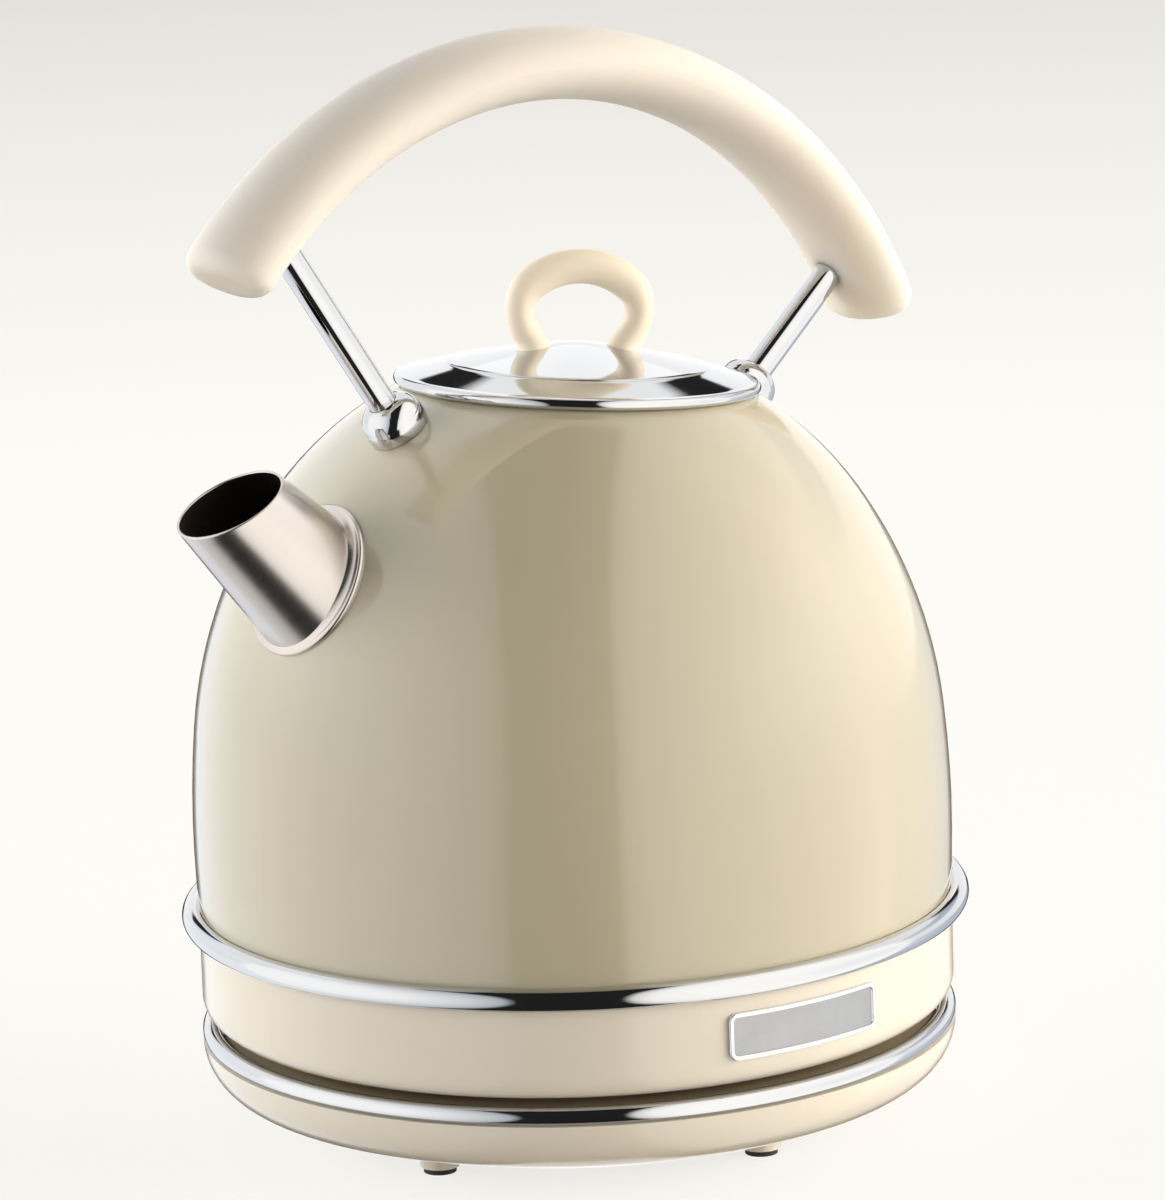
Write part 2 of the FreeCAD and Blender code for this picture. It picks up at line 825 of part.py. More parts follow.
def bottom_screws():
    screws = []
    for i, (x, y) in enumerate(cover_screw_places):
        head = rod("bottom_head%d" % i, d.screw_head_radius, d.screw_head, x, y, cover_bottom - d.screw_head)
        shank = rod("bottom_shank%d" % i, d.screw_radius, d.screw_length - d.seat_gap, x, y, cover_bottom)
        screws.append(fuse("bottom_screw%d" % i, head, shank))
    return group("bottom_screws", *screws)


def plate_seal():
    edge = side_at(shell_bottom, d.shell_wall) - d.seat_gap
    return turned("plate_seal", [
        (belt_reach, shell_bottom),
        (edge, shell_bottom),
        (edge, plate_top + d.seal_lip),
        (plate_edge - d.seal_grip, plate_top + d.seal_lip),
        (plate_edge - d.seal_grip, plate_top),
        (plate_edge, plate_top),
        (plate_edge, plate_bottom),
        (belt_reach, plate_bottom),
    ])


def heating_plate():
    disc = rod("plate_disc", plate_edge, d.plate_thickness, 0, 0, plate_bottom)
    hole = rod("steam_hole", d.steam_radius + d.fit_gap, d.plate_thickness * 3, -steam_offset, 0,
               plate_bottom - d.plate_thickness)
    return cut("heating_plate", disc, hole)


def element_diffuser():
    return rod("element_diffuser", diffuser_radius, d.diffuser_thickness, 0, 0, diffuser_bottom)


def heating_element():
    inner = element_circle - d.element_width / 2
    outer = element_circle + d.element_width / 2
    low = diffuser_bottom - d.element_height
    return turned("heating_element", [
        (inner, low),
        (outer, low),
        (outer, diffuser_bottom),
        (inner, diffuser_bottom),
    ], d.element_angle)


def control_block():
    low = socket_top + d.seat_gap
    return rod("control_block", control_radius, diffuser_bottom - low, 0, 0, low)


def steam_tube():
    tube = turned("steam_tube", [
        (d.steam_radius - d.steam_wall, steam_bottom),
        (d.steam_radius, steam_bottom),
        (d.steam_radius, steam_top),
        (d.steam_radius - d.steam_wall, steam_top),
    ])
    return put(tube, -steam_offset, 0, 0)


# Dome

def dome_corners(inset):
    # Bottom edge, the two joins between the arcs and the top of the dome.
    crown = crown_radius - inset
    shoulder = d.shoulder_radius - inset
    return [
        (side_at(shell_bottom, inset), shell_bottom),
        (shoulder_x + shoulder * sine(d.side_angle), shoulder_z + shoulder * cosine(d.side_angle)),
        (crown * sine(d.shoulder_angle), crown_height + crown * cosine(d.shoulder_angle)),
        (0, crown_height + crown),
    ]


def dome_solid(name, outset):
    # The dome as a solid, grown outwards by a clearance.
    corners = dome_corners(-outset)
    bends = [d.side_radius + outset, d.shoulder_radius + outset, crown_radius + outset]
    return turned(name, [(0, shell_bottom), corners[0]] + [corners[i + 1] + (bends[i],) for i in range(3)])


def body_shell():
    outer = dome_corners(size(0))
    inner = dome_corners(d.shell_wall)
    bends = [d.side_radius, d.shoulder_radius, crown_radius]
    outside = [outer[i + 1] + (bends[i],) for i in range(3)]
    inside = [inner[i] + (d.shell_wall - bends[i],) for i in (2, 1, 0)]
    dome = turned("dome", [outer[0]] + outside + [inner[3]] + inside)
    above = crown_radius - lid_rise + d.neck_depth
    mouth = on_lid(turned("filling_mouth", [
        (0, -d.neck_depth),
        (mouth_radius, -d.neck_depth),
        (mouth_radius, above),
        (0, above),
    ]))
    hole = spout_outer(-d.spout_inner_length) + d.seat_gap
    outlet = on_spout(turned("spout_hole", [
        (0, -d.spout_length),
        (hole, -d.spout_length),
        (hole, d.spout_length),
        (0, d.spout_length),
    ]))
    stud_holes = [on_rod(stud_tool(side), side) for side in ("front", "back")]
    return cut("body_shell", dome, mouth, outlet, *stud_holes)


def stud_tool(side):
    return turned(side + "_stud_hole", [
        (0, -d.rod_stud_length),
        (d.rod_stud + d.seat_gap, -d.rod_stud_length),
        (d.rod_stud + d.seat_gap, d.rod_stud_length),
        (0, d.rod_stud_length),
    ])


# Spout and filter, along the spout's own axis

def spout_outer(height):
    return d.spout_root_radius - height * sine(d.spout_taper_angle) / cosine(d.spout_taper_angle)


def spout_cone(name, inset, low, high):
    return on_spout(turned(name, [
        (0, low),
        (spout_outer(low) - inset, low),
        (spout_outer(high) - inset, high),
        (0, high),
    ]))


def flange_face(radius):
    # Height of the dome-shaped flange above the spout's seat, at a radius from its centre.
    return root(d.flange_ball * d.flange_ball - radius * radius) - d.flange_ball + d.flange_edge


def spout():
    top = d.spout_length + d.spout_root_radius
    tube = spout_cone("spout_tube", size(0), -d.spout_inner_length, top)
    inner = d.spout_root_radius - d.spout_wall * 2
    lip = flange_radius - d.flange_round
    blank = turned("flange_blank", [
        (inner, -d.flange_sink),
        (flange_radius, -d.flange_sink),
        (flange_radius, flange_face(lip) - d.flange_round),
        (lip, flange_face(lip), d.flange_round),
        (flare_radius, flange_face(flare_radius)),
        (inner, flange_face(inner) + d.flare_rise, -d.flare_bend),
    ])
    put(blank, spout_x, 0, spout_z, (lean_front, quarter - d.spout_place_angle))
    flange = cut("spout_flange", blank, dome_solid("spout_seat", d.fit_gap))
    bore = spout_cone("spout_bore", d.spout_wall, -d.spout_inner_length - d.spout_wall, top + d.spout_wall)
    slab = d.spout_root_radius * 2
    trim = rod("mouth_trim", slab, slab, spout_x + d.spout_length * sine(d.spout_angle), 0,
               spout_z + d.spout_length * cosine(d.spout_angle), (lean_front, d.mouth_angle))
    return cut("spout", fuse("spout_blank", tube, flange), bore, trim)


def filter_levels():
    flange_top = -d.spout_inner_length - d.seat_gap
    flange_low = flange_top - d.filter_flange_width
    return flange_low, flange_low + d.filter_lip, flange_top


def filter_frame():
    low, lip, top = filter_levels()
    bore = filter_radius - d.filter_wall
    return on_spout(turned("filter_frame", [
        (bore - d.filter_lip_width, low),
        (filter_flange, low),
        (filter_flange, top),
        (filter_radius, top),
        (filter_radius, d.filter_reach),
        (bore, d.filter_reach),
        (bore, lip),
        (bore - d.filter_lip_width, lip),
    ]))


def filter_mesh():
    low, lip, top = filter_levels()
    edge = filter_radius - d.filter_wall - d.fit_gap
    return on_spout(turned("filter_mesh", [
        (0, lip),
        (edge, lip),
        (edge, lip + d.mesh_thickness),
        (0, lip + d.mesh_thickness),
    ]))


# Lid and filling mouth, along the lid's own axis

def neck_ring():
    bore = neck_radius - d.neck_wall
    reach = neck_radius + d.neck_flange
    near = crown_at(neck_radius, d.shell_wall) - d.fit_gap
    far = crown_at(reach, d.shell_wall) - d.fit_gap
    return on_lid(turned("neck_ring", [
        (bore, -d.neck_depth),
        (neck_radius, -d.neck_depth),
        (neck_radius, near - d.neck_wall),
        (reach, far - d.neck_wall),
        (reach, far),
        (neck_radius, near),
        (neck_radius, d.neck_top),
        (bore, d.neck_top),
    ]))


lid_bead_circle = d.lid_radius - d.lid_bead
band_edge = crease_radius + d.crease_width
band_height = d.crease_height - d.crease_step
annulus_slope = (band_height - d.lid_bead * 2) / (lid_bead_circle - band_edge)
crown_sag = d.lid_height - d.crease_height
lid_crown = keep("lid_crown", (crease_radius * crease_radius + crown_sag * crown_sag) / (crown_sag * 2))
annulus_drop = d.lid_sheet * root(1 + annulus_slope * annulus_slope)
knob_screw_circle = d.knob_foot + (d.knob_half_width - d.knob_foot) / 4
knob_screw_x = keep("knob_screw_x", knob_screw_circle * cosine(d.knob_turn_angle))
knob_screw_y = keep("knob_screw_y", knob_screw_circle * sine(d.knob_turn_angle))
knob_places = (("front", knob_screw_x, -knob_screw_y), ("back", -knob_screw_x, knob_screw_y))


def lid_under(radius):
    # Underside of the lid's outer band at a radius.
    return d.lid_bead * 2 + (lid_bead_circle - radius) * annulus_slope - annulus_drop


def lid_cover():
    inner_bead = lid_bead_circle - d.lid_bead
    under_crease = crease_radius - d.lid_sheet * annulus_slope
    thin_crown = lid_crown - d.lid_sheet
    under_top = d.lid_height - d.lid_sheet
    under_z = under_top - thin_crown + root(thin_crown * thin_crown - under_crease * under_crease)
    cover = turned("lid_cover_blank", [
        (0, under_top),
        (under_crease, under_z, -thin_crown),
        (inner_bead, lid_under(inner_bead)),
        (inner_bead, d.lid_bead),
        (lid_bead_circle, 0, d.lid_bead),
        (d.lid_radius, d.lid_bead, d.lid_bead),
        (lid_bead_circle, d.lid_bead * 2, d.lid_bead),
        (band_edge, band_height),
        (crease_radius, d.crease_height),
        (0, d.lid_height, lid_crown),
    ])
    holes = [rod(side + "_knob_hole", screw_hole, d.lid_height, x, y, 0) for side, x, y in knob_places]
    return on_lid(cut("lid_cover", cover, *holes))


def lid_plug():
    seat = d.neck_top + d.seat_gap
    bore = plug_radius - d.lid_sheet
    reach = neck_radius + d.fit_gap
    return on_lid(turned("lid_plug", [
        (0, -d.plug_depth),
        (plug_radius, -d.plug_depth),
        (plug_radius, seat),
        (reach, seat),
        (reach, seat + d.plug_flange),
        (bore, seat + d.plug_flange),
        (bore, d.lid_sheet - d.plug_depth),
        (0, d.lid_sheet - d.plug_depth),
    ]))


def lid_seal():
    tip = neck_radius - d.neck_wall - d.seat_gap
    waist = (tip + plug_radius) / 2
    half = d.seal_width / 2
    return on_lid(turned("lid_seal", [
        (plug_radius, d.seal_height - half),
        (waist, d.seal_height - half),
        (tip, d.seal_height),
        (waist, d.seal_height + half),
        (plug_radius, d.seal_height + half),
    ]))


def lid_knob():
    body = doc.addObject("PartDesign::Body", "knob_loop")
    path = new_sketch(body, "knob_path", "XZ_Plane")
    flare = d.knob_half_width - d.knob_foot
    rise = d.knob_wide_height - d.knob_foot_height
    sway = (flare * flare + rise * rise) / (flare * 4)
    half_x = d.knob_foot + flare / 2
    half_z = d.knob_foot_height + rise / 2
    arch = d.knob_top - d.knob_wide_height
    corner_x = d.knob_half_width - d.knob_corner
    spread = corner_x * corner_x + arch * arch - d.knob_corner * d.knob_corner
    top_bend = spread / ((arch - d.knob_corner) * 2)
    share = top_bend / (top_bend - d.knob_corner)
    join_x = corner_x * share
    join_z = d.knob_top - top_bend + (top_bend - arch) * share
    start = d.crease_height
    draw(path, [
        (d.knob_foot, start),
        (d.knob_foot, d.knob_foot_height),
        (half_x, half_z, -sway),
        (d.knob_half_width, d.knob_wide_height, sway),
        (join_x, join_z, d.knob_corner),
        (-join_x, join_z, top_bend),
        (-d.knob_half_width, d.knob_wide_height, d.knob_corner),
        (-half_x, half_z, sway),
        (-d.knob_foot, d.knob_foot_height, -sway),
        (-d.knob_foot, start),
    ], closed=False)
    section = new_sketch(body, "knob_section", "XY_Plane")
    section.setExpression("AttachmentOffset.Base.z", start.text)
    section.addGeometry(Part.Circle(FreeCAD.Vector(d.knob_foot.value, 0, 0), FreeCAD.Vector(0, 0, 1),
                                    d.knob_tube.value), False)
    pin_point(section, 0, 3, d.knob_foot, 0, "centre")
    hold(section, Sketcher.Constraint("Radius", 0, d.knob_tube.value), "tube", d.knob_tube)
    loop = body.newObject("PartDesign::AdditivePipe", "knob_sweep")
    loop.Profile = section
    loop.Spine = (path, [])
    put(body, 0, 0, 0, (clockwise, d.knob_turn_angle))
    ball = doc.addObject("Part::Sphere", "lid_crown_ball")
    ball.setExpression("Radius", lid_crown.text)
    put(ball, 0, 0, d.lid_height - lid_crown)
    bore_height = d.lid_height + d.knob_screw_rise
    bores = [rod(side + "_knob_bore", screw_hole, bore_height, x, y, 0) for side, x, y in knob_places]
    return on_lid(cut("lid_knob", body, ball, *bores))


def knob_screws():
    edge = knob_screw_circle + d.screw_head_radius
    thin_crown = lid_crown - d.lid_sheet
    head_top = d.lid_height - lid_crown + root(thin_crown * thin_crown - edge * edge) - d.fit_gap
    screws = []
    shank_height = d.lid_height + d.knob_screw_rise - d.seat_gap - head_top
    for side, x, y in knob_places:
        head = rod(side + "_knob_head", d.screw_head_radius, d.screw_head, x, y, head_top - d.screw_head)
        shank = rod(side + "_knob_shank", d.screw_radius, shank_height, x, y, head_top)
        screws.append(fuse(side + "_knob_screw", head, shank))
    return on_lid(group("knob_screws", *screws))


# Handle

def rod_reach(side):
    # Distance along a rod from its foot on the dome to the grip's inner face.
    if side == "front":
        foot, lean = front_rod_foot, d.front_rod_angle
    else:
        foot, lean = -back_rod_foot, -d.back_rod_angle
    run = foot - d.grip_centre
    rise = crown_z(foot) - grip_height
    inner = grip_radius - d.grip_half_depth
    along = run * sine(lean) + rise * cosine(lean)
    return root(along * along - (run * run + rise * rise) + inner * inner) - along


reach = {side: keep(side + "_reach", rod_reach(side)) for side in ("front", "back")}


def handle_rod(side):
    shoulder = d.boss_middle / 2
    top = reach[side] + d.rod_embed
    return on_rod(turned(side + "_rod", [
        (0, -d.rod_stud_length),
        (d.rod_stud, -d.rod_stud_length),
        (d.rod_stud, shoulder),
        (d.rod_radius, shoulder),
        (d.rod_radius, top),
        (0, top),
    ]), side)


def handle_boss(side):
    bore = d.rod_radius + d.fit_gap
    bun = on_rod(turned(side + "_bun", [
        (bore, -d.boss_middle),
        (d.boss_foot_radius, -d.boss_middle),
        (d.boss_radius, d.boss_middle, d.boss_foot_bend),
        (bore, d.boss_height, d.boss_top_bend),
    ]), side)
    return cut(side + "_boss", bun, dome_solid(side + "_boss_seat", d.fit_gap))


def rod_nuts():
    nuts = []
    for side in ("front", "back"):
        top = -d.nut_drop
        nuts.append(on_rod(turned(side + "_nut", [
            (d.rod_stud + d.fit_gap, top - d.nut_height),
            (d.nut_radius, top - d.nut_height),
            (d.nut_radius, top),
            (d.rod_stud + d.fit_gap, top),
        ]), side))
    return group("rod_nuts", *nuts)


def handle_grip():
    body = doc.addObject("PartDesign::Body", "grip_arc")
    section = new_sketch(body, "grip_section", "XY_Plane")
    centre = FreeCAD.Vector(grip_radius.value, 0, 0)
    section.addGeometry(Part.Ellipse(centre + FreeCAD.Vector(0, d.grip_half_width.value, 0),
                                     centre + FreeCAD.Vector(d.grip_half_depth.value, 0, 0), centre), False)
    section.exposeInternalGeometry(0)
    pin_point(section, 0, 3, grip_radius, 0, "centre")
    section.addConstraint(Sketcher.Constraint("Vertical", 1))
    for edge, name, half in ((1, "width", d.grip_half_width), (2, "depth", d.grip_half_depth)):
        hold(section, Sketcher.Constraint("Distance", edge, half.value * 2), name, half * 2)
    sweep = body.newObject("PartDesign::Revolution", "grip_sweep")
    sweep.Profile = section
    sweep.ReferenceAxis = (section, ["V_Axis"])
    sweep.Midplane = True
    sweep.setExpression("Angle", (d.grip_front_angle + d.grip_back_angle).text)
    round_edges(body, "grip_ends", lambda edge: edge.Curve.TypeId == "Part::GeomEllipse", d.grip_end_round)
    middle = (d.grip_front_angle - d.grip_back_angle) / 2
    put(body, d.grip_centre, 0, grip_height, (lean_back, quarter - middle))
    bores = []
    for side in ("front", "back"):
        top = reach[side] + d.rod_embed + d.fit_gap
        bores.append(on_rod(turned(side + "_grip_bore", [
            (0, 0),
            (d.rod_radius + d.fit_gap, 0),
            (d.rod_radius + d.fit_gap, top),
            (0, top),
        ]), side))
    return cut("handle_grip", body, *bores)


# Switch lever

def switch_lever():
    body = doc.addObject("PartDesign::Body", "lever_plate")
    sketch = new_sketch(body, "lever_outline", "XY_Plane")
    tip = d.paddle_half_width - d.paddle_corner
    draw(sketch, [
        (-pivot_offset, d.neck_half_width),
        (-paddle_start, d.neck_half_width),
        (-paddle_start, d.paddle_half_width),
        (-paddle_end + d.paddle_corner, d.paddle_half_width),
        (-paddle_end, tip, d.paddle_corner),
        (-paddle_end, -tip),
        (-paddle_end + d.paddle_corner, -d.paddle_half_width, d.paddle_corner),
        (-paddle_start, -d.paddle_half_width),
        (-paddle_start, -d.neck_half_width),
        (-pivot_offset, -d.neck_half_width),
    ])
    pad = body.newObject("PartDesign::Pad", "lever_pad")
    pad.Profile = sketch
    pad.Midplane = True
    pad.setExpression("Length", d.paddle_thickness.text)
    outside = -(paddle_start + d.paddle_edge).value
    round_edges(body, "paddle_rounding",
                lambda edge: edge.BoundBox.ZLength < tiny and edge.CenterOfMass.x < outside, d.paddle_edge)
    put(body, 0, 0, d.pivot_height)
    hub = rod("lever_hub", d.hub_radius, d.neck_half_width * 2, -pivot_offset, d.neck_half_width,
              d.pivot_height, (turn_left, quarter))
    return cut("switch_lever", fuse("lever_blank", body, hub), pivot_bore("lever_bore", d.fit_gap))


# Badge

def badge_slab(name, inner, outer, inset):
    half = d.badge_tall / 2 - inset
    sweep = (d.badge_width - inset * 2) / skirt_radius * math.degrees(1)
    slab = turned(name, [
        (inner, d.badge_height - half),
        (outer, d.badge_height - half),
        (outer, d.badge_height + half),
        (inner, d.badge_height + half),
    ], sweep)
    depth = (outer - inner).value
    round_edges(slab, name + "_corners", lambda edge: abs(edge.Length - depth) < tiny, d.badge_corner - inset)
    return put(slab, 0, 0, 0, (upright, d.badge_angle))


def badge_plate():
    front = skirt_radius + d.badge_thickness
    plate = badge_slab("badge_blank", skirt_radius, front, size(0))
    field = badge_slab("badge_field", front - d.badge_recess, front + d.badge_thickness, d.badge_border)
    return cut("badge_plate", plate, field)


# Assembly

pieces = [
    base_bowl(), foot_pads(), base_trim_ring(), base_deck(), base_screws(), base_connector(),
    connector_contacts(), cord_gland(),
    cordless_socket(), socket_contacts(),
    skirt(), belt_ring(), bottom_cover(), switch_pin(), plate_studs(), bottom_screws(), plate_seal(),
    heating_plate(), element_diffuser(), heating_element(), control_block(), steam_tube(),
    body_shell(), spout(), neck_ring(),
    handle_rod("front"), handle_rod("back"), handle_boss("front"), handle_boss("back"), rod_nuts(),
    handle_grip(), badge_plate(),
    switch_lever(),
    filter_frame(), filter_mesh(),
    lid_cover(), lid_plug(), lid_seal(), lid_knob(), knob_screws(),
]
doc.recompute()

for thing in doc.Objects:
    if "Invalid" in thing.State or "Error" in thing.State:
        raise RuntimeError("%s failed: %s" % (thing.Name, thing.State))
for piece in pieces:
    if piece.Shape.isNull() or not piece.Shape.isValid() or not piece.Shape.Solids:
        raise RuntimeError("%s has no valid solid" % piece.Label)

os.makedirs("parts", exist_ok=True)
for piece in pieces:
    piece.Shape.exportStep("parts/%s.step" % piece.Label)
    print("%-20s %2d solids %10.1f mm3" % (piece.Label, len(piece.Shape.Solids), piece.Shape.Volume))
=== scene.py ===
import json
import math

import bmesh
import bpy
import numpy as np
from mathutils import Matrix, Vector


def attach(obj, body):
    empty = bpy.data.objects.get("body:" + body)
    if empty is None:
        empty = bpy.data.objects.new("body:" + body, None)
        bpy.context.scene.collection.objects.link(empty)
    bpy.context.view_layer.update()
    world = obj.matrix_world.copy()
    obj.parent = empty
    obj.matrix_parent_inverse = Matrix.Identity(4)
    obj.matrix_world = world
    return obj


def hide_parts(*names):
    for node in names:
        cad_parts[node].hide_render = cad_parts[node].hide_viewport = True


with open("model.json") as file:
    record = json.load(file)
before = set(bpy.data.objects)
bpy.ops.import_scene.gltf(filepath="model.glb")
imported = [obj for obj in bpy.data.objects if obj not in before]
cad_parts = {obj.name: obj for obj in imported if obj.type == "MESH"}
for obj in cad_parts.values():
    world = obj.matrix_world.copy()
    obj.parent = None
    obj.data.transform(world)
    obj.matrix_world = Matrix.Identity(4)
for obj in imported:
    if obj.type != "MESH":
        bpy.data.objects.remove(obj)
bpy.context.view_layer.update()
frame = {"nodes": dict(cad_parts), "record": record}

scene = bpy.context.scene
scene.view_settings.view_transform = "Standard"
print("frame loaded:", len(frame["nodes"]), "nodes")


# Colours, nodes and finishes

noiseShape = {"drift": {"Detail": 3.0, "Roughness": 0.55}, "grain": {"Detail": 2.0, "Roughness": 0.6}}
grainHeights = (0.3, 0.7)  # the grain heights that take a look's first and last roughness


def linear(hexColour):
    # sRGB hex to the linear colour that a shader socket takes
    parts = np.array([int(hexColour[i:i + 2], 16) for i in (0, 2, 4)]) / 255
    parts = np.where(parts <= 0.04045, parts / 12.92, ((parts + 0.055) / 1.055) ** 2.4)
    return (*parts.tolist(), 1.0)


def addNode(tree, kind, inputs=None, **settings):
    # one node: its settings, then its inputs, each a plain value or a socket to link from
    node = tree.nodes.new(kind)
    for name, value in settings.items():
        setattr(node, name, value)
    for name, value in (inputs or {}).items():
        if isinstance(value, bpy.types.NodeSocket):
            tree.links.new(value, node.inputs[name])
        else:
            node.inputs[name].default_value = value
    return node


def makeFinish(name, look):
    # a finish from its look: two tints that drift into each other, a roughness that wanders between
    # two values, a relief whose grain is so many millimetres along x, y and z, and plain shader values
    material = bpy.data.materials.new(name)
    material.use_nodes = True
    tree = material.node_tree
    shader = tree.nodes["Principled BSDF"]
    place = addNode(tree, "ShaderNodeTexCoord").outputs["Object"]
    drift = addNode(tree, "ShaderNodeTexNoise", {
        "Vector": place, "Scale": 1000 / look["driftMm"], **noiseShape["drift"]})
    first, second = (linear(tint) for tint in look["tints"])
    tint = addNode(tree, "ShaderNodeMix", {"Factor": drift.outputs["Fac"], 6: first, 7: second},
                   data_type="RGBA")
    turn = [math.radians(angle) for angle in look.get("turn", (0, 0, 0))]
    turned = addNode(tree, "ShaderNodeMapping", {"Vector": place, "Rotation": turn}, vector_type="TEXTURE")
    stretched = addNode(tree, "ShaderNodeMapping", {
        "Vector": turned.outputs["Vector"], "Scale": [1000 / size for size in look["grainMm"]]})
    grainPlace = {"Vector": stretched.outputs["Vector"], "Scale": 1.0}
    if look.get("pebbled"):
        grain = addNode(tree, "ShaderNodeTexVoronoi", grainPlace, feature="SMOOTH_F1")
        height = grain.outputs["Distance"]
    else:
        grain = addNode(tree, "ShaderNodeTexNoise", {**grainPlace, **noiseShape["grain"]})
        height = grain.outputs["Fac"]
    rough = addNode(tree, "ShaderNodeMapRange", {
        "Value": height, "From Min": grainHeights[0], "From Max": grainHeights[1],
        "To Min": look["rough"][0], "To Max": look["rough"][1]})
    bump = addNode(tree, "ShaderNodeBump", {
        "Height": height, "Strength": 1.0, "Distance": look["reliefMm"] / 1000})
    tree.links.new(tint.outputs[2], shader.inputs["Base Color"])
    tree.links.new(rough.outputs["Result"], shader.inputs["Roughness"])
    tree.links.new(bump.outputs["Normal"], shader.inputs["Normal"])
    for socket, value in look.get("plain", {}).items():
        shader.inputs[socket].default_value = value
    return material


# grains and streaks under a millimetre are drawn coarser than the real ones, as coarse as they need to show
metal = {"Metallic": 1.0}
looks = {
    # gloss paint stoved on pressed steel: deep gloss, and a faint orange peel in what it mirrors
    "stovedEnamel": {
        "tints": ("c2b99f", "c7bea5"), "driftMm": 70, "grainMm": (3.0, 3.0, 3.0), "reliefMm": 0.0035,
        "rough": (0.3, 0.36),
        "plain": {"IOR": 1.5, "Coat Weight": 1.0, "Coat Roughness": 0.025, "Coat IOR": 1.62}},
    # glossy ABS from a polished mould: warm ivory with a soft, slightly wavy shine
    "polishedAbs": {
        "tints": ("e9e0d2", "ede5d8"), "driftMm": 90, "grainMm": (5.0, 5.0, 5.0), "reliefMm": 0.006,
        "rough": (0.1, 0.16), "plain": {"IOR": 1.52}},
    # the same ABS where nobody looks, left as moulded and so duller; its darker tint is painted shade, so that
    # the gap stays deep
    "paintedShadeAbs": {
        "tints": ("ad9f86", "b7a990"), "driftMm": 30, "grainMm": (0.9, 0.9, 0.9), "reliefMm": 0.015,
        "rough": (0.45, 0.6), "plain": {"IOR": 1.52}},
    # bright chrome on polished metal: near mirror with faint polishing haze
    "brightChrome": {
        "tints": ("c9cacc", "cfd0d2"), "driftMm": 40, "grainMm": (1.2, 1.2, 1.2), "reliefMm": 0.0002,
        "rough": (0.035, 0.06), "plain": metal},
    # stainless sheet, spun and brushed in rings about the spout's axis: streaked satin
    "brushedSteel": {
        "tints": ("c7bfb9", "d0c9c4"), "driftMm": 25, "grainMm": (14.0, 14.0, 0.5), "turn": (0, 45, 0),
        "reliefMm": 0.00012, "rough": (0.22, 0.257), "plain": metal},
    # stainless sheet inside the kettle, rolled: soft grey shine with short streaks
    "rolledSteel": {
        "tints": ("c4c3c0", "d0cfcc"), "driftMm": 30, "grainMm": (6.0, 0.5, 6.0), "reliefMm": 0.001,
        "rough": (0.22, 0.34), "plain": metal},
    # moulded grip of slightly milky plastic with an eroded skin: matte warm cream with no sharp
    # highlight, and light that spreads a little way into its shaded side
    "erodedCream": {
        "tints": ("e0dad3", "e4ded8"), "driftMm": 50, "grainMm": (0.7, 0.7, 0.7), "reliefMm": 0.02,
        "rough": (0.6, 0.72),
        "plain": {"IOR": 1.48, "Specular IOR Level": 0.1, "Subsurface Weight": 1.0,
                  "Subsurface Scale": 0.012, "Subsurface Radius": (1.0, 0.95, 0.85)}},
    # moulded phenolic knob, lightly polished: satin cream with a soft sheen
    "satinCream": {
        "tints": ("f9ecd6", "fbefdb"), "driftMm": 25, "grainMm": (0.9, 0.9, 0.9), "reliefMm": 0.008,
        "rough": (0.34, 0.44), "plain": {"IOR": 1.5}},
    # black glass-filled nylon, eroded mould: dull charcoal with a sandy skin
    "blackNylon": {
        "tints": ("1b1b1c", "242425"), "driftMm": 12, "grainMm": (0.6, 0.6, 0.6), "reliefMm": 0.02,
        "rough": (0.45, 0.6)},
    # moulded rubber: flat dark grey that scuffs paler
    "footRubber": {
        "tints": ("2b2a29", "3a3836"), "driftMm": 4, "grainMm": (0.8, 0.8, 0.8), "reliefMm": 0.03,
        "rough": (0.75, 0.9)},
    # moulded silicone: milky, dull and slightly dusty
    "milkySilicone": {
        "tints": ("cfcdc6", "dcdad4"), "driftMm": 15, "grainMm": (1.5, 1.5, 1.5), "reliefMm": 0.01,
        "rough": (0.5, 0.62), "plain": {"IOR": 1.41}},
    # turned brass contacts: warm yellow with fine lathe rings
    "turnedBrass": {
        "tints": ("c9a45c", "d8b672"), "driftMm": 6, "grainMm": (8.0, 8.0, 0.3), "reliefMm": 0.001,
        "rough": (0.18, 0.32), "plain": metal},
    # cast aluminium heat spreader: pale grey with a coarse cast skin
    "castAluminium": {
        "tints": ("b3b4b5", "c3c4c5"), "driftMm": 10, "grainMm": (1.2, 1.2, 1.2), "reliefMm": 0.05,
        "rough": (0.42, 0.6), "plain": metal},
    # zinc plated screws: bluish grey, slightly cloudy
    "zincPlate": {
        "tints": ("b9bcc0", "c9ccd1"), "driftMm": 3, "grainMm": (0.8, 0.8, 0.8), "reliefMm": 0.004,
        "rough": (0.25, 0.4), "plain": metal},
    # steel wall inside the spout, left as drawn and dull; its near-black brown is painted shade for the dark
    # inside of the tube
    "paintedShadeSteel": {
        "tints": ("2b2320", "1d1816"), "driftMm": 4, "grainMm": (0.9, 0.9, 0.9), "reliefMm": 0.02,
        "rough": (0.5, 0.7), "plain": {"Metallic": 0.6}},
    # polished border of the badge, bright between its dull field and the skirt
    "polishedSilver": {
        "tints": ("dedfe0", "e6e7e8"), "driftMm": 6, "grainMm": (0.9, 0.9, 0.9), "reliefMm": 0.001,
        "rough": (0.1, 0.18), "plain": metal},
    # etched silver plate of the badge: grey field with a fine pebble
    "etchedSilver": {
        "tints": ("9c9d9f", "a8a9ab"), "driftMm": 8, "grainMm": (0.55, 0.55, 0.55), "reliefMm": 0.05,
        "rough": (0.3, 0.42), "plain": metal, "pebbled": True},
}
finishes = {name: makeFinish(name, look) for name, look in looks.items()}

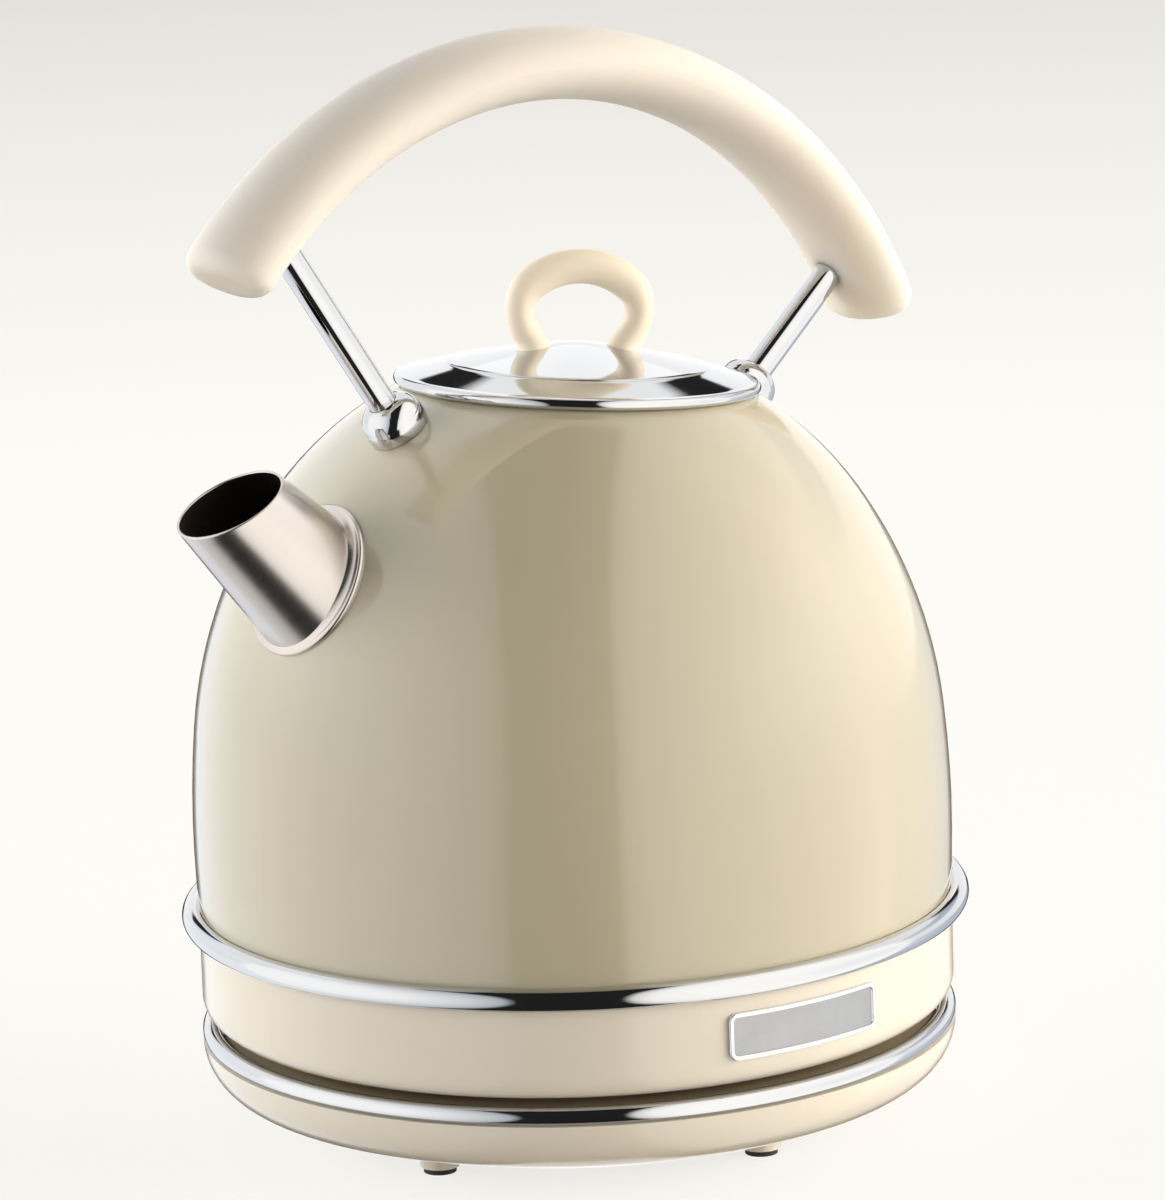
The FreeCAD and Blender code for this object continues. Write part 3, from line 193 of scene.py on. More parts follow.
slotFinish = {
    "ivory_plastic": "polishedAbs", "cream_enamel": "stovedEnamel", "chrome": "brightChrome",
    "steel": "rolledSteel", "soft_cream": "erodedCream", "knob_cream": "satinCream",
    "black_plastic": "blackNylon", "foot_rubber": "footRubber", "silicone": "milkySilicone",
    "contact_brass": "turnedBrass", "heater_aluminium": "castAluminium", "zinc_steel": "zincPlate",
    "badge_silver": "etchedSilver",
}
# the deck and the bottom cover take the darker ABS, whose tint is painted shade for the gap under the kettle
ownFinish = {"spout": "brushedSteel", "base_deck": "paintedShadeAbs", "bottom_cover": "paintedShadeAbs"}
slotOf = {part["node"]: part["material_slot"] for part in frame["record"]["subparts"]}
for name, node in frame["nodes"].items():
    finish = finishes[ownFinish.get(name, slotFinish[slotOf[name]])]
    for place in node.material_slots:
        place.material = finish
print("finishes:", len(finishes))


# Surfaces, in millimetres until they become a mesh

mergeWithin = 1e-6  # metres


def arc(centre, radius, first, last, steps):
    # points on a circle from one angle to another, in degrees
    angle = np.radians(np.linspace(first, last, steps))
    return np.array(centre) + radius * np.stack([np.cos(angle), np.sin(angle)], axis=-1)


def bentRun(start, end, bend, steps):
    # points of the arc from start to end with that radius; a positive bend turns left, a negative one right
    start, end = np.array(start), np.array(end)
    chord = end - start
    span = np.hypot(*chord)
    left = np.array((-chord[1], chord[0])) / span
    offset = math.copysign(math.sqrt(max(bend ** 2 - span ** 2 / 4, 0)), bend)
    centre = (start + end) / 2 + left * offset
    first, last = (math.degrees(math.atan2(*(point - centre)[::-1])) for point in (start, end))
    last += 360 * ((bend > 0 and last < first) - (bend < 0 and last > first))
    return arc(centre, abs(bend), first, last, steps)


def tip(points, lean, place):
    # points leant from upright towards +x by so many degrees, then moved to their place
    angle = math.radians(lean)
    cosine, sine = math.cos(angle), math.sin(angle)
    turned = np.array(((cosine, 0, sine), (0, 1, 0), (-sine, 0, cosine)))
    return points @ turned.T + np.array(place)


def spin(profile, steps):
    # a profile (across, up) carried round: x = across * cos(turn), y = across * sin(turn), z = up
    turn = np.linspace(0, 2 * np.pi, steps + 1)
    across, up = profile.T
    return np.stack([np.outer(np.cos(turn), across), np.outer(np.sin(turn), across),
                     np.tile(up, (steps + 1, 1))], axis=-1)


def makePiece(name, grids, finishNames, body, nodes=(), sharpFrom=40):
    # one mesh from grids of points: quads between neighbours, doubles merged so that seams and poles
    # close, normals turned outwards, edges sharper than so many degrees left crisp
    sizes = [grid.shape[0] * grid.shape[1] for grid in grids]
    quads = []
    for grid, start in zip(grids, np.cumsum([0] + sizes)):
        rows, columns = grid.shape[:2]
        corner = start + np.arange(rows * columns).reshape(rows, columns)[:-1, :-1]
        corners = [corner, corner + 1, corner + columns + 1, corner + columns]
        quads.append(np.stack(corners, axis=-1).reshape(-1, 4))
    mesh = bpy.data.meshes.new(name)
    points = np.concatenate([grid.reshape(-1, 3) for grid in grids]) / 1000
    mesh.from_pydata(points.tolist(), [], np.concatenate(quads).tolist())
    finishOf = np.repeat(np.arange(len(grids)), [len(part) for part in quads])
    mesh.polygons.foreach_set("material_index", finishOf)
    form = bmesh.new()
    form.from_mesh(mesh)
    bmesh.ops.remove_doubles(form, verts=form.verts, dist=mergeWithin)
    bmesh.ops.recalc_face_normals(form, faces=form.faces)
    form.to_mesh(mesh)
    form.free()
    for finishName in finishNames:
        mesh.materials.append(finishes[finishName])
    mesh.shade_smooth()
    mesh.set_sharp_from_angle(angle=math.radians(sharpFrom))
    piece = bpy.data.objects.new(name, mesh)
    scene.collection.objects.link(piece)
    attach(piece, body)
    if nodes:
        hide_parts(*nodes)
    print("piece:", name, len(mesh.polygons), "faces")


# Chrome rings

beltRing = {"circle": 100.06, "height": 55.2, "bead": 2.94, "beadSteps": 49, "back": 98.7,
            "flangeReach": 92.5, "flangeHalf": 0.5, "steps": 288}
trimRing = {"circle": 96.5, "height": 24.3, "bead": 2.4, "beadSteps": 49, "seat": 22.2, "deck": 23.2,
            "flangeReach": 92.0, "steps": 288}


def makeBeltRing(values):
    # profile: a flange, a bead that is all of a circle but its back, and the flange again
    middle, bead, back = values["height"], values["bead"], values["back"]
    reach = values["flangeReach"]
    low, high = middle - values["flangeHalf"], middle + values["flangeHalf"]
    ends = math.degrees(math.acos((back - values["circle"]) / bead))
    profile = np.concatenate([
        [(reach, low), (back, low)],
        arc((values["circle"], middle), bead, -ends, ends, values["beadSteps"]),
        [(back, high), (reach, high), (reach, low)]])
    makePiece("beltRing", [spin(profile, values["steps"])], ["brightChrome"], "kettle",
              ["belt_ring"])


def makeTrimRing(values):
    # profile: a flat seat on the bowl, a bead round to the deck's level, and a flange under the deck
    middle, bead, seat, deck = (values[name] for name in ("height", "bead", "seat", "deck"))
    reach = values["flangeReach"]
    first = math.degrees(math.asin((seat - middle) / bead))
    last = 180 - math.degrees(math.asin((deck - middle) / bead))
    profile = np.concatenate([
        [(reach, seat)],
        arc((values["circle"], middle), bead, first, last, values["beadSteps"]),
        [(reach, deck), (reach, seat)]])
    makePiece("trimRing", [spin(profile, values["steps"])], ["brightChrome"], "power_base",
              ["base_trim_ring"])


makeBeltRing(beltRing)
makeTrimRing(trimRing)


# Lid cover and knob, on the lid's leaning axis

lidFrame = {"lean": -4.5, "place": (-6.434, 0, 190.045)}
lidCover = {
    "radius": 47.56, "bead": 1.4, "rimArc": (80, -180), "sheet": 0.8, "creaseRadius": 33.8, "creaseHeight": 6.2,
    "height": 11.6, "soft": 1.2, "step": 0.45,
    # the crease's points, outwards and down in shares of the step, and how far the band runs past the rim's top
    "creaseShape": ((0.4, 0.16), (0.8, 0.5), (1.15, 0.84), (1.6, 1.0)), "bandPast": (0.2, -0.02),
    "coneSteps": 40, "bandSteps": 9, "rimSteps": 40, "steps": 288}


def makeLidCover(values):
    # profile: a shallow cone with a soft tip, a small step at the crease, a sloping band, a rolled rim
    # and the sheet's underside; the cone falls by root((slope * across) squared + soft squared) - soft
    bead, sheet, soft, top = (values[name] for name in ("bead", "sheet", "soft", "height"))
    crease, edge = values["creaseRadius"], values["creaseHeight"]
    circle = values["radius"] - bead
    slope = math.sqrt((top - edge + soft) ** 2 - soft ** 2) / crease
    across = crease * np.linspace(0, 1, values["coneSteps"])
    cone = np.stack([across, top + soft - np.hypot(slope * across, soft)], axis=-1)
    fall = np.array((crease, edge)) + values["step"] * np.array(values["creaseShape"]) * (1, -1)
    band = np.linspace(fall[-1], np.array((circle, bead * 2)) + values["bandPast"], values["bandSteps"])
    profile = np.concatenate([
        cone, fall[:-1], band,
        arc((circle, bead), bead, *values["rimArc"], values["rimSteps"]),
        [(circle - bead, bead * 2 - sheet)],
        cone[::-2] - (0, sheet),
        [(0, top - sheet)]])
    grid = tip(spin(profile, values["steps"]), lidFrame["lean"], lidFrame["place"])
    makePiece("lidCover", [grid], ["brightChrome"], "lid", ["lid_cover"])


lidKnob = {
    "turn": -27.3, "foot": 11.6, "footHeight": 7.2, "halfWidth": 15.7, "wideHeight": 20.2, "top": 31.2,
    "corner": 8.5, "start": 9.0, "legHalf": 3.6, "topHalf": 4.5, "depthHalf": 4.1, "flare": 1.0,
    "flareHeight": 1.5, "surface": 10.2,
    # the section starts to swell so far below the widest place, and is full so far below the top
    "swellBelow": 4.0, "fullBelow": 2.0, "runSteps": (16, 12, 14, 12), "steps": 48}


def knobLoop(values):
    # half a loop and its mirror image: it leaves the lid upright, sways out to its widest and closes in
    # two corners and a flatter arch
    foot, wide, top, corner = (values[name] for name in ("foot", "halfWidth", "top", "corner"))
    footHeight, wideHeight = values["footHeight"], values["wideHeight"]
    legSteps, swaySteps, cornerSteps, archSteps = values["runSteps"]
    out, rise, arch = wide - foot, wideHeight - footHeight, top - wideHeight
    sway = (out ** 2 + rise ** 2) / (4 * out)
    half = (foot + out / 2, footHeight + rise / 2)
    cornerX = wide - corner
    archBend = (cornerX ** 2 + arch ** 2 - corner ** 2) / (2 * (arch - corner))
    share = archBend / (archBend - corner)
    join = (cornerX * share, top - archBend + (archBend - arch) * share)
    leg = bentRun((foot, footHeight), half, -sway, legSteps)
    side = np.concatenate([
        leg[leg[:, 1] > values["start"]],
        bentRun(half, (wide, wideHeight), sway, swaySteps)[1:],
        bentRun((wide, wideHeight), join, corner, cornerSteps)[1:],
        bentRun(join, (0, top), archBend, archSteps)[1:]])
    return np.concatenate([side, side[-2::-1] * (-1, 1)])


def makeLidKnob(values):
    # an oval section carried along the loop: it thickens towards the top by a smooth step, flares where it
    # meets the lid, and shrinks to a point at both ends, inside the lid
    path = knobLoop(values)
    along = np.gradient(path, axis=0)
    along /= np.linalg.norm(along, axis=1, keepdims=True)
    height = path[:, 1]
    swellFrom = values["wideHeight"] - values["swellBelow"]
    swellTo = values["top"] - values["fullBelow"]
    swell = np.clip((height - swellFrom) / (swellTo - swellFrom), 0, 1)
    swell = swell * swell * (3 - 2 * swell)
    flared = values["flare"] * np.exp(-np.clip(height - values["surface"], 0, None) / values["flareHeight"])
    closed = np.concatenate([[0.0], np.ones(len(path) - 2), [0.0]])
    inPlane = closed * (values["legHalf"] + (values["topHalf"] - values["legHalf"]) * swell + flared)
    through = closed * (values["depthHalf"] + flared)
    around = np.linspace(0, 2 * np.pi, values["steps"] + 1)
    across = path[:, None, 0] - np.outer(inPlane * along[:, 1], np.cos(around))
    up = path[:, None, 1] + np.outer(inPlane * along[:, 0], np.cos(around))
    deep = np.outer(through, np.sin(around))
    turn = math.radians(values["turn"])
    grid = np.stack([across * math.cos(turn) - deep * math.sin(turn),
                     across * math.sin(turn) + deep * math.cos(turn), up], axis=-1)
    grid = tip(grid, lidFrame["lean"], lidFrame["place"])
    makePiece("lidKnob", [grid], ["satinCream"], "lid", ["lid_knob"], sharpFrom=80)


makeLidCover(lidCover)
makeLidKnob(lidKnob)


# Spout: a tapered tube on its own axis and a flange that lies on the dome

spoutTube = {"place": (82.21, 0, 153.33), "lean": 45.0, "root": 17.2, "taper": 6.0, "wall": 0.8,
             "length": 31.0, "below": 8.0, "mouthLean": 26.4, "wallSteps": 25, "rimSteps": 9, "steps": 160}
spoutFlange = {"lean": 60.5, "radius": 20.3, "edge": 1.4, "round": 1.0, "ball": 104.0, "flareReach": 1.6,
               "flareRise": 5.0, "flareBend": 5.0, "sink": 2.4, "coreWalls": 1.5,
               "edgeSteps": 12, "faceSteps": 4, "flareSteps": 16, "steps": 160}


def spoutWalls(tube):
    # at each turn the outer wall runs from below the dome to the slanted mouth and rounds over the rim, and
    # the inner wall goes back down; the mouth is the plane along = length + across * tan(slant)
    turn = np.linspace(0, 2 * np.pi, tube["steps"] + 1)[:, None]
    narrowing = math.tan(math.radians(tube["taper"]))
    slant = math.tan(math.radians(tube["lean"] - tube["mouthLean"]))
    mouth = (tube["length"] + slant * tube["root"] * np.cos(turn)) / (1 + slant * narrowing * np.cos(turn))
    rim = tube["wall"] / 2
    share = np.linspace(0, 1, tube["wallSteps"])[None, :]
    along = -tube["below"] + share * (mouth - rim + tube["below"])
    bend = np.linspace(0, np.pi, tube["rimSteps"])[None, 1:]
    outerAlong = np.concatenate([along, mouth - rim + rim * np.sin(bend)], axis=1)
    overRim = tube["root"] - narrowing * (mouth - rim) + rim * (np.cos(bend) - 1)
    outer = np.concatenate([tube["root"] - narrowing * along, overRim], axis=1)
    inner = tube["root"] - narrowing * along[:, ::-1] - tube["wall"]
    inner = np.concatenate([inner, outer[:, :1]], axis=1)  # the lower end is closed
    innerAlong = np.concatenate([along[:, ::-1], outerAlong[:, :1]], axis=1)
    return [tip(np.stack([wall * np.cos(turn), wall * np.sin(turn), height], axis=-1),
                tube["lean"], tube["place"])
            for wall, height in ((outer, outerAlong), (inner, innerAlong))]


def flangeFace(flange, across):
    # height of the flange's ball-shaped face: root(ball squared - across squared) - ball + edge
    return math.sqrt(flange["ball"] ** 2 - across ** 2) - flange["ball"] + flange["edge"]


def spoutWasher(tube, flange):
    # profile: a ball-shaped washer with a rolled edge and a hollow fillet up to the tube
    radius, sink, soft = flange["radius"], flange["sink"], flange["round"]
    lip = radius - soft
    hollow = tube["root"] + flange["flareReach"]
    core = tube["root"] - tube["wall"] * flange["coreWalls"]
    lipLevel, hollowLevel, coreLevel = (flangeFace(flange, across) for across in (lip, hollow, core))
    flareTop = (core, coreLevel + flange["flareRise"])
    profile = np.concatenate([
        [(core, -sink), (radius, -sink)],
        arc((lip, lipLevel - soft), soft, 0, 90, flange["edgeSteps"]),
        np.linspace((lip, lipLevel), (hollow, hollowLevel), flange["faceSteps"])[1:],
        bentRun((hollow, hollowLevel), flareTop, -flange["flareBend"], flange["flareSteps"])[1:],
        [(core, -sink)]])
    return tip(spin(profile, flange["steps"]), flange["lean"], tube["place"])


# the spout's inner wall takes the near-black steel, painted shade for the dark inside of the tube
makePiece("spoutTube", spoutWalls(spoutTube) + [spoutWasher(spoutTube, spoutFlange)],
          ["brushedSteel", "paintedShadeSteel", "brushedSteel"], "kettle", ["spout"])


# Badge plate, bent round the skirt

badgePlate = {"turn": 88.0, "middle": 41.8, "width": 46.2, "tall": 12.3, "corner": 2.4, "skirt": 98.6,
              "thick": 1.2, "border": 1.25, "slope": 0.1, "recess": 0.55, "edgeRound": 0.35,
              "cornerSteps": 9, "sideSteps": 26, "roundSteps": 5, "faceSteps": 8}


def plateOutline(values, inset):
    # rounded rectangles, one row for each inset: four corner arcs joined by straight runs, as (along, up)
    inset = np.atleast_1d(inset)[:, None]
    halfWide, halfTall = values["width"] / 2 - inset, values["tall"] / 2 - inset
    corner = np.clip(values["corner"] - inset, 0, None)
    bends = []
    for quarter, (side, level) in enumerate(((1, 1), (-1, 1), (-1, -1), (1, -1))):
        angle = np.linspace(quarter, quarter + 1, values["cornerSteps"])[None, :] * np.pi / 2
        bends.append(np.stack([side * (halfWide - corner) + corner * np.cos(angle),
                               level * (halfTall - corner) + corner * np.sin(angle)], axis=-1))
    bends.append(bends[0][:, :1])
    share = np.linspace(0, 1, values["sideSteps"])[None, 1:-1, None]
    runs = []
    for bend, following in zip(bends, bends[1:]):
        runs += [bend, bend[:, -1:] * (1 - share) + following[:, :1] * share]
    return np.concatenate(runs + bends[-1:], axis=1)


def makeBadge(values):
    # rings of the outline, each with its inset and its height above the skirt: up the edge, over a rounded
    # border, down into a flat field and along the back; along becomes an angle round the skirt
    soft, top, border, count = (values[name] for name in ("edgeRound", "thick", "border", "faceSteps"))
    bend = np.linspace(0, np.pi / 2, values["roundSteps"])
    fieldFrom, fieldLevel = border + values["slope"], top - values["recess"]
    middle = values["tall"] / 2
    rings = {
        "polishedSilver": np.concatenate([
            [(0, 0)],
            np.stack([soft - soft * np.cos(bend), top - soft + soft * np.sin(bend)], axis=-1),
            np.stack([border - soft + soft * np.sin(bend), top - soft + soft * np.cos(bend)], axis=-1),
            [(fieldFrom, fieldLevel)]]),
        "etchedSilver": np.stack([np.linspace(fieldFrom, middle, count), np.full(count, fieldLevel)], axis=-1),
        "zincPlate": np.stack([np.linspace(middle, 0, count), np.zeros(count)], axis=-1),
    }
    grids = []
    for ring in rings.values():
        outline = plateOutline(values, ring[:, 0])
        reach = values["skirt"] + ring[:, 1, None]
        turn = math.radians(values["turn"]) - outline[..., 0] / values["skirt"]
        level = values["middle"] + outline[..., 1]
        grids.append(np.stack([reach * np.cos(turn), reach * np.sin(turn), level], axis=-1))
    makePiece("badgePlate", grids, list(rings), "kettle", ["badge_plate"])


makeBadge(badgePlate)


# Grip ridges on the switch lever

leverRidges = {"places": (-104.2, -106.5, -108.8, -111.1, -113.4), "level": 43.95, "halfLength": 9.5,
               "halfWidth": 0.6, "height": 0.45, "sink": 0.2, "blunt": 8, "lengthSteps": 33, "roundSteps": 25}


def makeRidges(values):
    # half-round bars: the section shrinks to a point at both ends by (1 - share to the power blunt) to the
    # power 1 / blunt, so the ends are full and rounded
    share = np.linspace(-1, 1, values["lengthSteps"])[:, None]
    full = (1 - share ** values["blunt"]) ** (1 / values["blunt"])
    bend = np.linspace(0, 2 * np.pi, values["roundSteps"])[None, :]
    length = values["halfLength"] * share + 0 * bend
    up = values["level"] + values["height"] * full * np.clip(np.sin(bend), -values["sink"], 1)
    grids = [np.stack([place + values["halfWidth"] * full * np.cos(bend), length, up], axis=-1)
             for place in values["places"]]
    makePiece("leverRidges", grids, ["polishedAbs"] * len(grids), "switch")


makeRidges(leverRidges)


# Woven wire of the limescale filter, with its pitch drawn coarse to show

filterWeave = {"middle": -9.4, "radius": 14.8, "pitch": 1.3, "wire": 0.17, "wave": 0.18,
               "pitchSteps": 4, "roundSteps": 7}


def makeWeave(values):
    # plain weave: wire number j runs along one axis at j pitches across it, and its height is the wave times
    # the cosine of half a turn per pitch, turned over from wire to wire; the other set runs crosswise with
    # the waves turned over
    pitch = values["pitch"]
    count = int(2 * values["radius"] / pitch)
    number = np.arange(count)[:, None, None]
    across = (number - (count - 1) / 2) * pitch
    share = np.linspace(-1, 1, count * values["pitchSteps"] + 1)[None, :, None]
    along = share * np.sqrt(values["radius"] ** 2 - across ** 2)
    wave = values["wave"] * np.cos(np.pi * (along / pitch + (count - 1) / 2 + number))
    thick = values["wire"] * (np.abs(share) < 1)
    bend = np.linspace(0, 2 * np.pi, values["roundSteps"])[None, None, :]
    ahead = along + 0 * bend
    side = across + thick * np.cos(bend) + 0 * along
    up = values["middle"] + thick * np.sin(bend) + 0 * along
    sets = [np.stack([ahead, side, up + wave], axis=-1), np.stack([side, ahead, up - wave], axis=-1)]
    wires = [tip(wire, spoutTube["lean"], spoutTube["place"]) for part in sets for wire in part]
    makePiece("filterWeave", wires, ["rolledSteel"] * len(wires), "filter", ["filter_mesh"],
              sharpFrom=75)


makeWeave(filterWeave)


# Crossed screw heads under the base and the kettle

screwHeads = {
    "radius": 3.15, "crown": 0.55, "slotHalf": 0.42, "slotSlope": 0.15, "slotReach": 1.75, "reachSlope": 0.4,
    "depth": 0.48, "count": 3, "acrossSteps": 22, "turnSteps": 97,
    "places": {"baseScrews": {"level": 1.39, "circle": 52.0, "first": 60, "body": "power_base"},
               "kettleScrews": {"level": 28.99, "circle": 75.0, "first": 30, "body": "kettle"}}}


def makeScrews(values):
    # a shallow cap, height = crown * (1 - (r / radius) squared), less a cross: the depth where one of x and y
    # is inside the slot's half width and the other inside its reach, with sloping walls; the caps hang down
    across = np.linspace(0, values["radius"], values["acrossSteps"])[None, :]
    turn = np.linspace(0, 2 * np.pi, values["turnSteps"])[:, None]
    x, y = across * np.cos(turn), across * np.sin(turn)
    near, far = np.minimum(np.abs(x), np.abs(y)), np.maximum(np.abs(x), np.abs(y))
    inWidth = np.clip((values["slotHalf"] - near) / values["slotSlope"] + 0.5, 0, 1)
    inReach = np.clip((values["slotReach"] - far) / values["reachSlope"] + 0.5, 0, 1)
    cap = values["crown"] * (1 - (across / values["radius"]) ** 2) - values["depth"] * inWidth * inReach
    for name, place in values["places"].items():
        spots = np.radians(place["first"] + np.arange(values["count"]) * 360 / values["count"])
        grids = [np.stack([place["circle"] * math.cos(spot) + x, place["circle"] * math.sin(spot) + y,
                           place["level"] - drop], axis=-1)
                 for spot in spots for drop in (cap, 0 * x)]
        makePiece(name, grids, ["zincPlate"] * len(grids), place["body"])


makeScrews(screwHeads)


# Studio: camera, soft front light, room and floor

studioCamera = {"place": (0.9696, 1.2728, 0.4808), "pitch": 0.2131, "roll": -0.0351, "lens": 189.3,
                "sensor": 36, "shiftX": 0.0147, "clipStart": 0.05}
cameraTurn = math.atan2(studioCamera["place"][1], studioCamera["place"][0])


def lookAlong(place, heading, pitch, roll):
    # axes right, up and back, from a level heading tipped down by pitch, then rolled
    level = math.cos(pitch)
    ahead = Vector((math.cos(heading) * level, math.sin(heading) * level, -math.sin(pitch)))
    right = ahead.cross(Vector((0, 0, 1))).normalized()
    axes = Matrix((right, right.cross(ahead), -ahead)).transposed()
    return Matrix.Translation(place) @ (axes @ Matrix.Rotation(roll, 3, "Z")).to_4x4()


def makeCamera(values):
    camera = bpy.data.objects.new("camera", bpy.data.cameras.new("camera"))
    scene.collection.objects.link(camera)
    place = Vector(values["place"])
    camera.matrix_world = lookAlong(place, cameraTurn + math.pi, values["pitch"], values["roll"])
    camera.data.lens = values["lens"]
    camera.data.sensor_width = values["sensor"]
    camera.data.shift_x = values["shiftX"]
    camera.data.clip_start = values["clipStart"]
    scene.camera = camera


frontFill = {"away": 1.8, "height": 0.8, "aim": 0.12, "side": 1.2, "radiance": 0.45}


def makeFill(values):
    # a square lamp on the camera's side that matte surfaces take and mirrors don't show
    lamp = bpy.data.lights.new("frontFill", "AREA")
    lamp.size = values["side"]
    lamp.energy = values["radiance"] * math.pi * values["side"] ** 2
    box = bpy.data.objects.new("frontFill", lamp)
    scene.collection.objects.link(box)
    away, height = values["away"], values["height"]
    place = Vector((away * math.cos(cameraTurn), away * math.sin(cameraTurn), height))
    pitch = math.atan2(height - values["aim"], away)
    box.matrix_world = lookAlong(place, cameraTurn + math.pi, pitch, 0)
    box.visible_camera = False
    box.visible_glossy = False


# the near colour fading to the darker far one away from the kettle is a painted pool of light on the floor
backdrop = {"near": "fffefb", "far": "d4d1cc", "fade": (0.9, 3.6)}  # fade: metres from the kettle

# The room as matte surfaces take it and as mirrors show it, each light a share of white. Front and behind
# are rings of softboxes, as stops of (lean to the camera's right from -1 to 1, share, tint), and frontFrom
# is how far a direction faces the camera where the front ring begins. Over the far ring lie a strip in its
# middle, a ceiling above a rise, and a lit sweep between two rises; over both rings lies a top above a rise.
studioRooms = {
    "matte": {
        "white": 9.5, "frontFrom": 0.0,
        "front": ((-1.0, 0.62, "fdfbf6"), (-0.9, 0.36, "fdfbf6"), (-0.78, 0.05, "fdfbf6"),
                  (-0.6, 0.02, "ffffff"), (-0.4, 0.01, "ffffff"), (0.24, 0.01, "ffffff"),
                  (0.45, 0.035, "fff7e8"), (0.65, 0.09, "fff7e8"), (0.8, 0.43, "fff7e8"),
                  (0.9, 0.88, "fff7e8"), (1.0, 1.0, "fff7e8")),
        "behind": ((-1.0, 0.85, "fdfbf6"), (-0.7, 0.8, "fdfbf6"), (-0.5, 0.3, "fdfbf6"),
                   (-0.3, 0.1, "ffffff"), (0.0, 0.06, "ffffff"), (0.3, 0.14, "fff7e8"),
                   (0.5, 0.5, "fff7e8"), (0.65, 0.95, "fff7e8"), (1.0, 1.0, "fff7e8")),
        "strip": 0.06, "ceiling": (0.42, 0.06), "sweep": (-2.0, 0.15, 0.24), "top": (0.46, 0.02)},
    "mirror": {
        "white": 1.7, "frontFrom": -0.35,
        "front": ((-1.0, 0.93, "f8f7f5"), (-0.8, 0.88, "f8f8f7"), (-0.5, 0.62, "f7f9fa"),
                  (-0.36, 0.42, "f5f9fd"), (-0.3, 0.012, "ffffff"), (0.21, 0.012, "ffffff"),
                  (0.26, 0.6, "fffdf8"), (0.34, 0.85, "fffdf8"), (0.6, 0.93, "fffdf8"),
                  (0.9, 0.9, "fffdf8"), (1.0, 0.8, "ffffff")),
        "behind": ((-1.0, 0.86, "f4f4f4"), (-0.36, 0.78, "e6eefa"), (-0.27, 0.012, "ffffff"),
                   (0.27, 0.012, "ffffff"), (0.36, 0.42, "e8f0ff"), (0.65, 0.5, "e8f0ff"),
                   (0.95, 0.65, "f4f8ff"), (1.0, 0.75, "ffffff")),
        "strip": 0.8, "ceiling": (0.44, 0.7), "sweep": (-0.06, 0.27, 0.7), "top": (2.0, 0.7)},
}
# leans of the strip's middle, which drifts with the rise, and of its half width and soft edge
litStrip = {"middle": 0.026, "drift": 0.02, "half": 0.093, "blend": 0.003}
edgeBlend = {"ceiling": 0.02, "sweepFrom": 0.01, "sweepTo": 0.01, "front": 0.05, "top": 0.1}


def makeRoom(tree, room, facing, across, rising, onStrip):
    # layers over the ring behind, each covering what is below it by its share
    rings = {}
    for side in ("front", "behind"):
        ramp = addNode(tree, "ShaderNodeValToRGB", {"Fac": across})
        while len(ramp.color_ramp.elements) < len(room[side]):
            ramp.color_ramp.elements.new(1.0)
        for element, (lean, share, tint) in zip(ramp.color_ramp.elements, room[side]):
            element.position = (lean + 1) / 2
            element.color = [share * part for part in linear(tint)[:3]] + [1.0]
        rings[side] = ramp.outputs["Color"]
    sweepFrom, sweepTo, sweepGrey = room["sweep"]
    edges = {"ceiling": (rising, room["ceiling"][0]), "sweepFrom": (rising, sweepFrom),
             "sweepTo": (rising, sweepTo), "front": (facing, room["frontFrom"]), "top": (rising, room["top"][0])}
    past = {}  # 0 to 1 as a value passes a level, over the blend on either side of it
    for name, (value, level) in edges.items():
        blend = edgeBlend[name]
        past[name] = addNode(tree, "ShaderNodeMapRange", {
            "Value": value, "From Min": level - blend, "From Max": level + blend}).outputs["Result"]
    swept = addNode(tree, "ShaderNodeMath", {0: past["sweepFrom"], 1: past["sweepTo"]}, operation="SUBTRACT")
    greys = {"strip": room["strip"], "ceiling": room["ceiling"][1], "sweep": sweepGrey, "top": room["top"][1]}
    light = {name: (grey, grey, grey, 1.0) for name, grey in greys.items()}
    layers = ((onStrip, light["strip"]), (past["ceiling"], light["ceiling"]), (swept.outputs[0], light["sweep"]),
              (past["front"], rings["front"]), (past["top"], light["top"]))
    colour = rings["behind"]
    for share, upper in layers:
        mixed = addNode(tree, "ShaderNodeMix", {"Factor": share, 6: colour, 7: upper}, data_type="RGBA")
        colour = mixed.outputs[2]
    return addNode(tree, "ShaderNodeBackground", {"Color": colour, "Strength": room["white"]}).outputs[0]


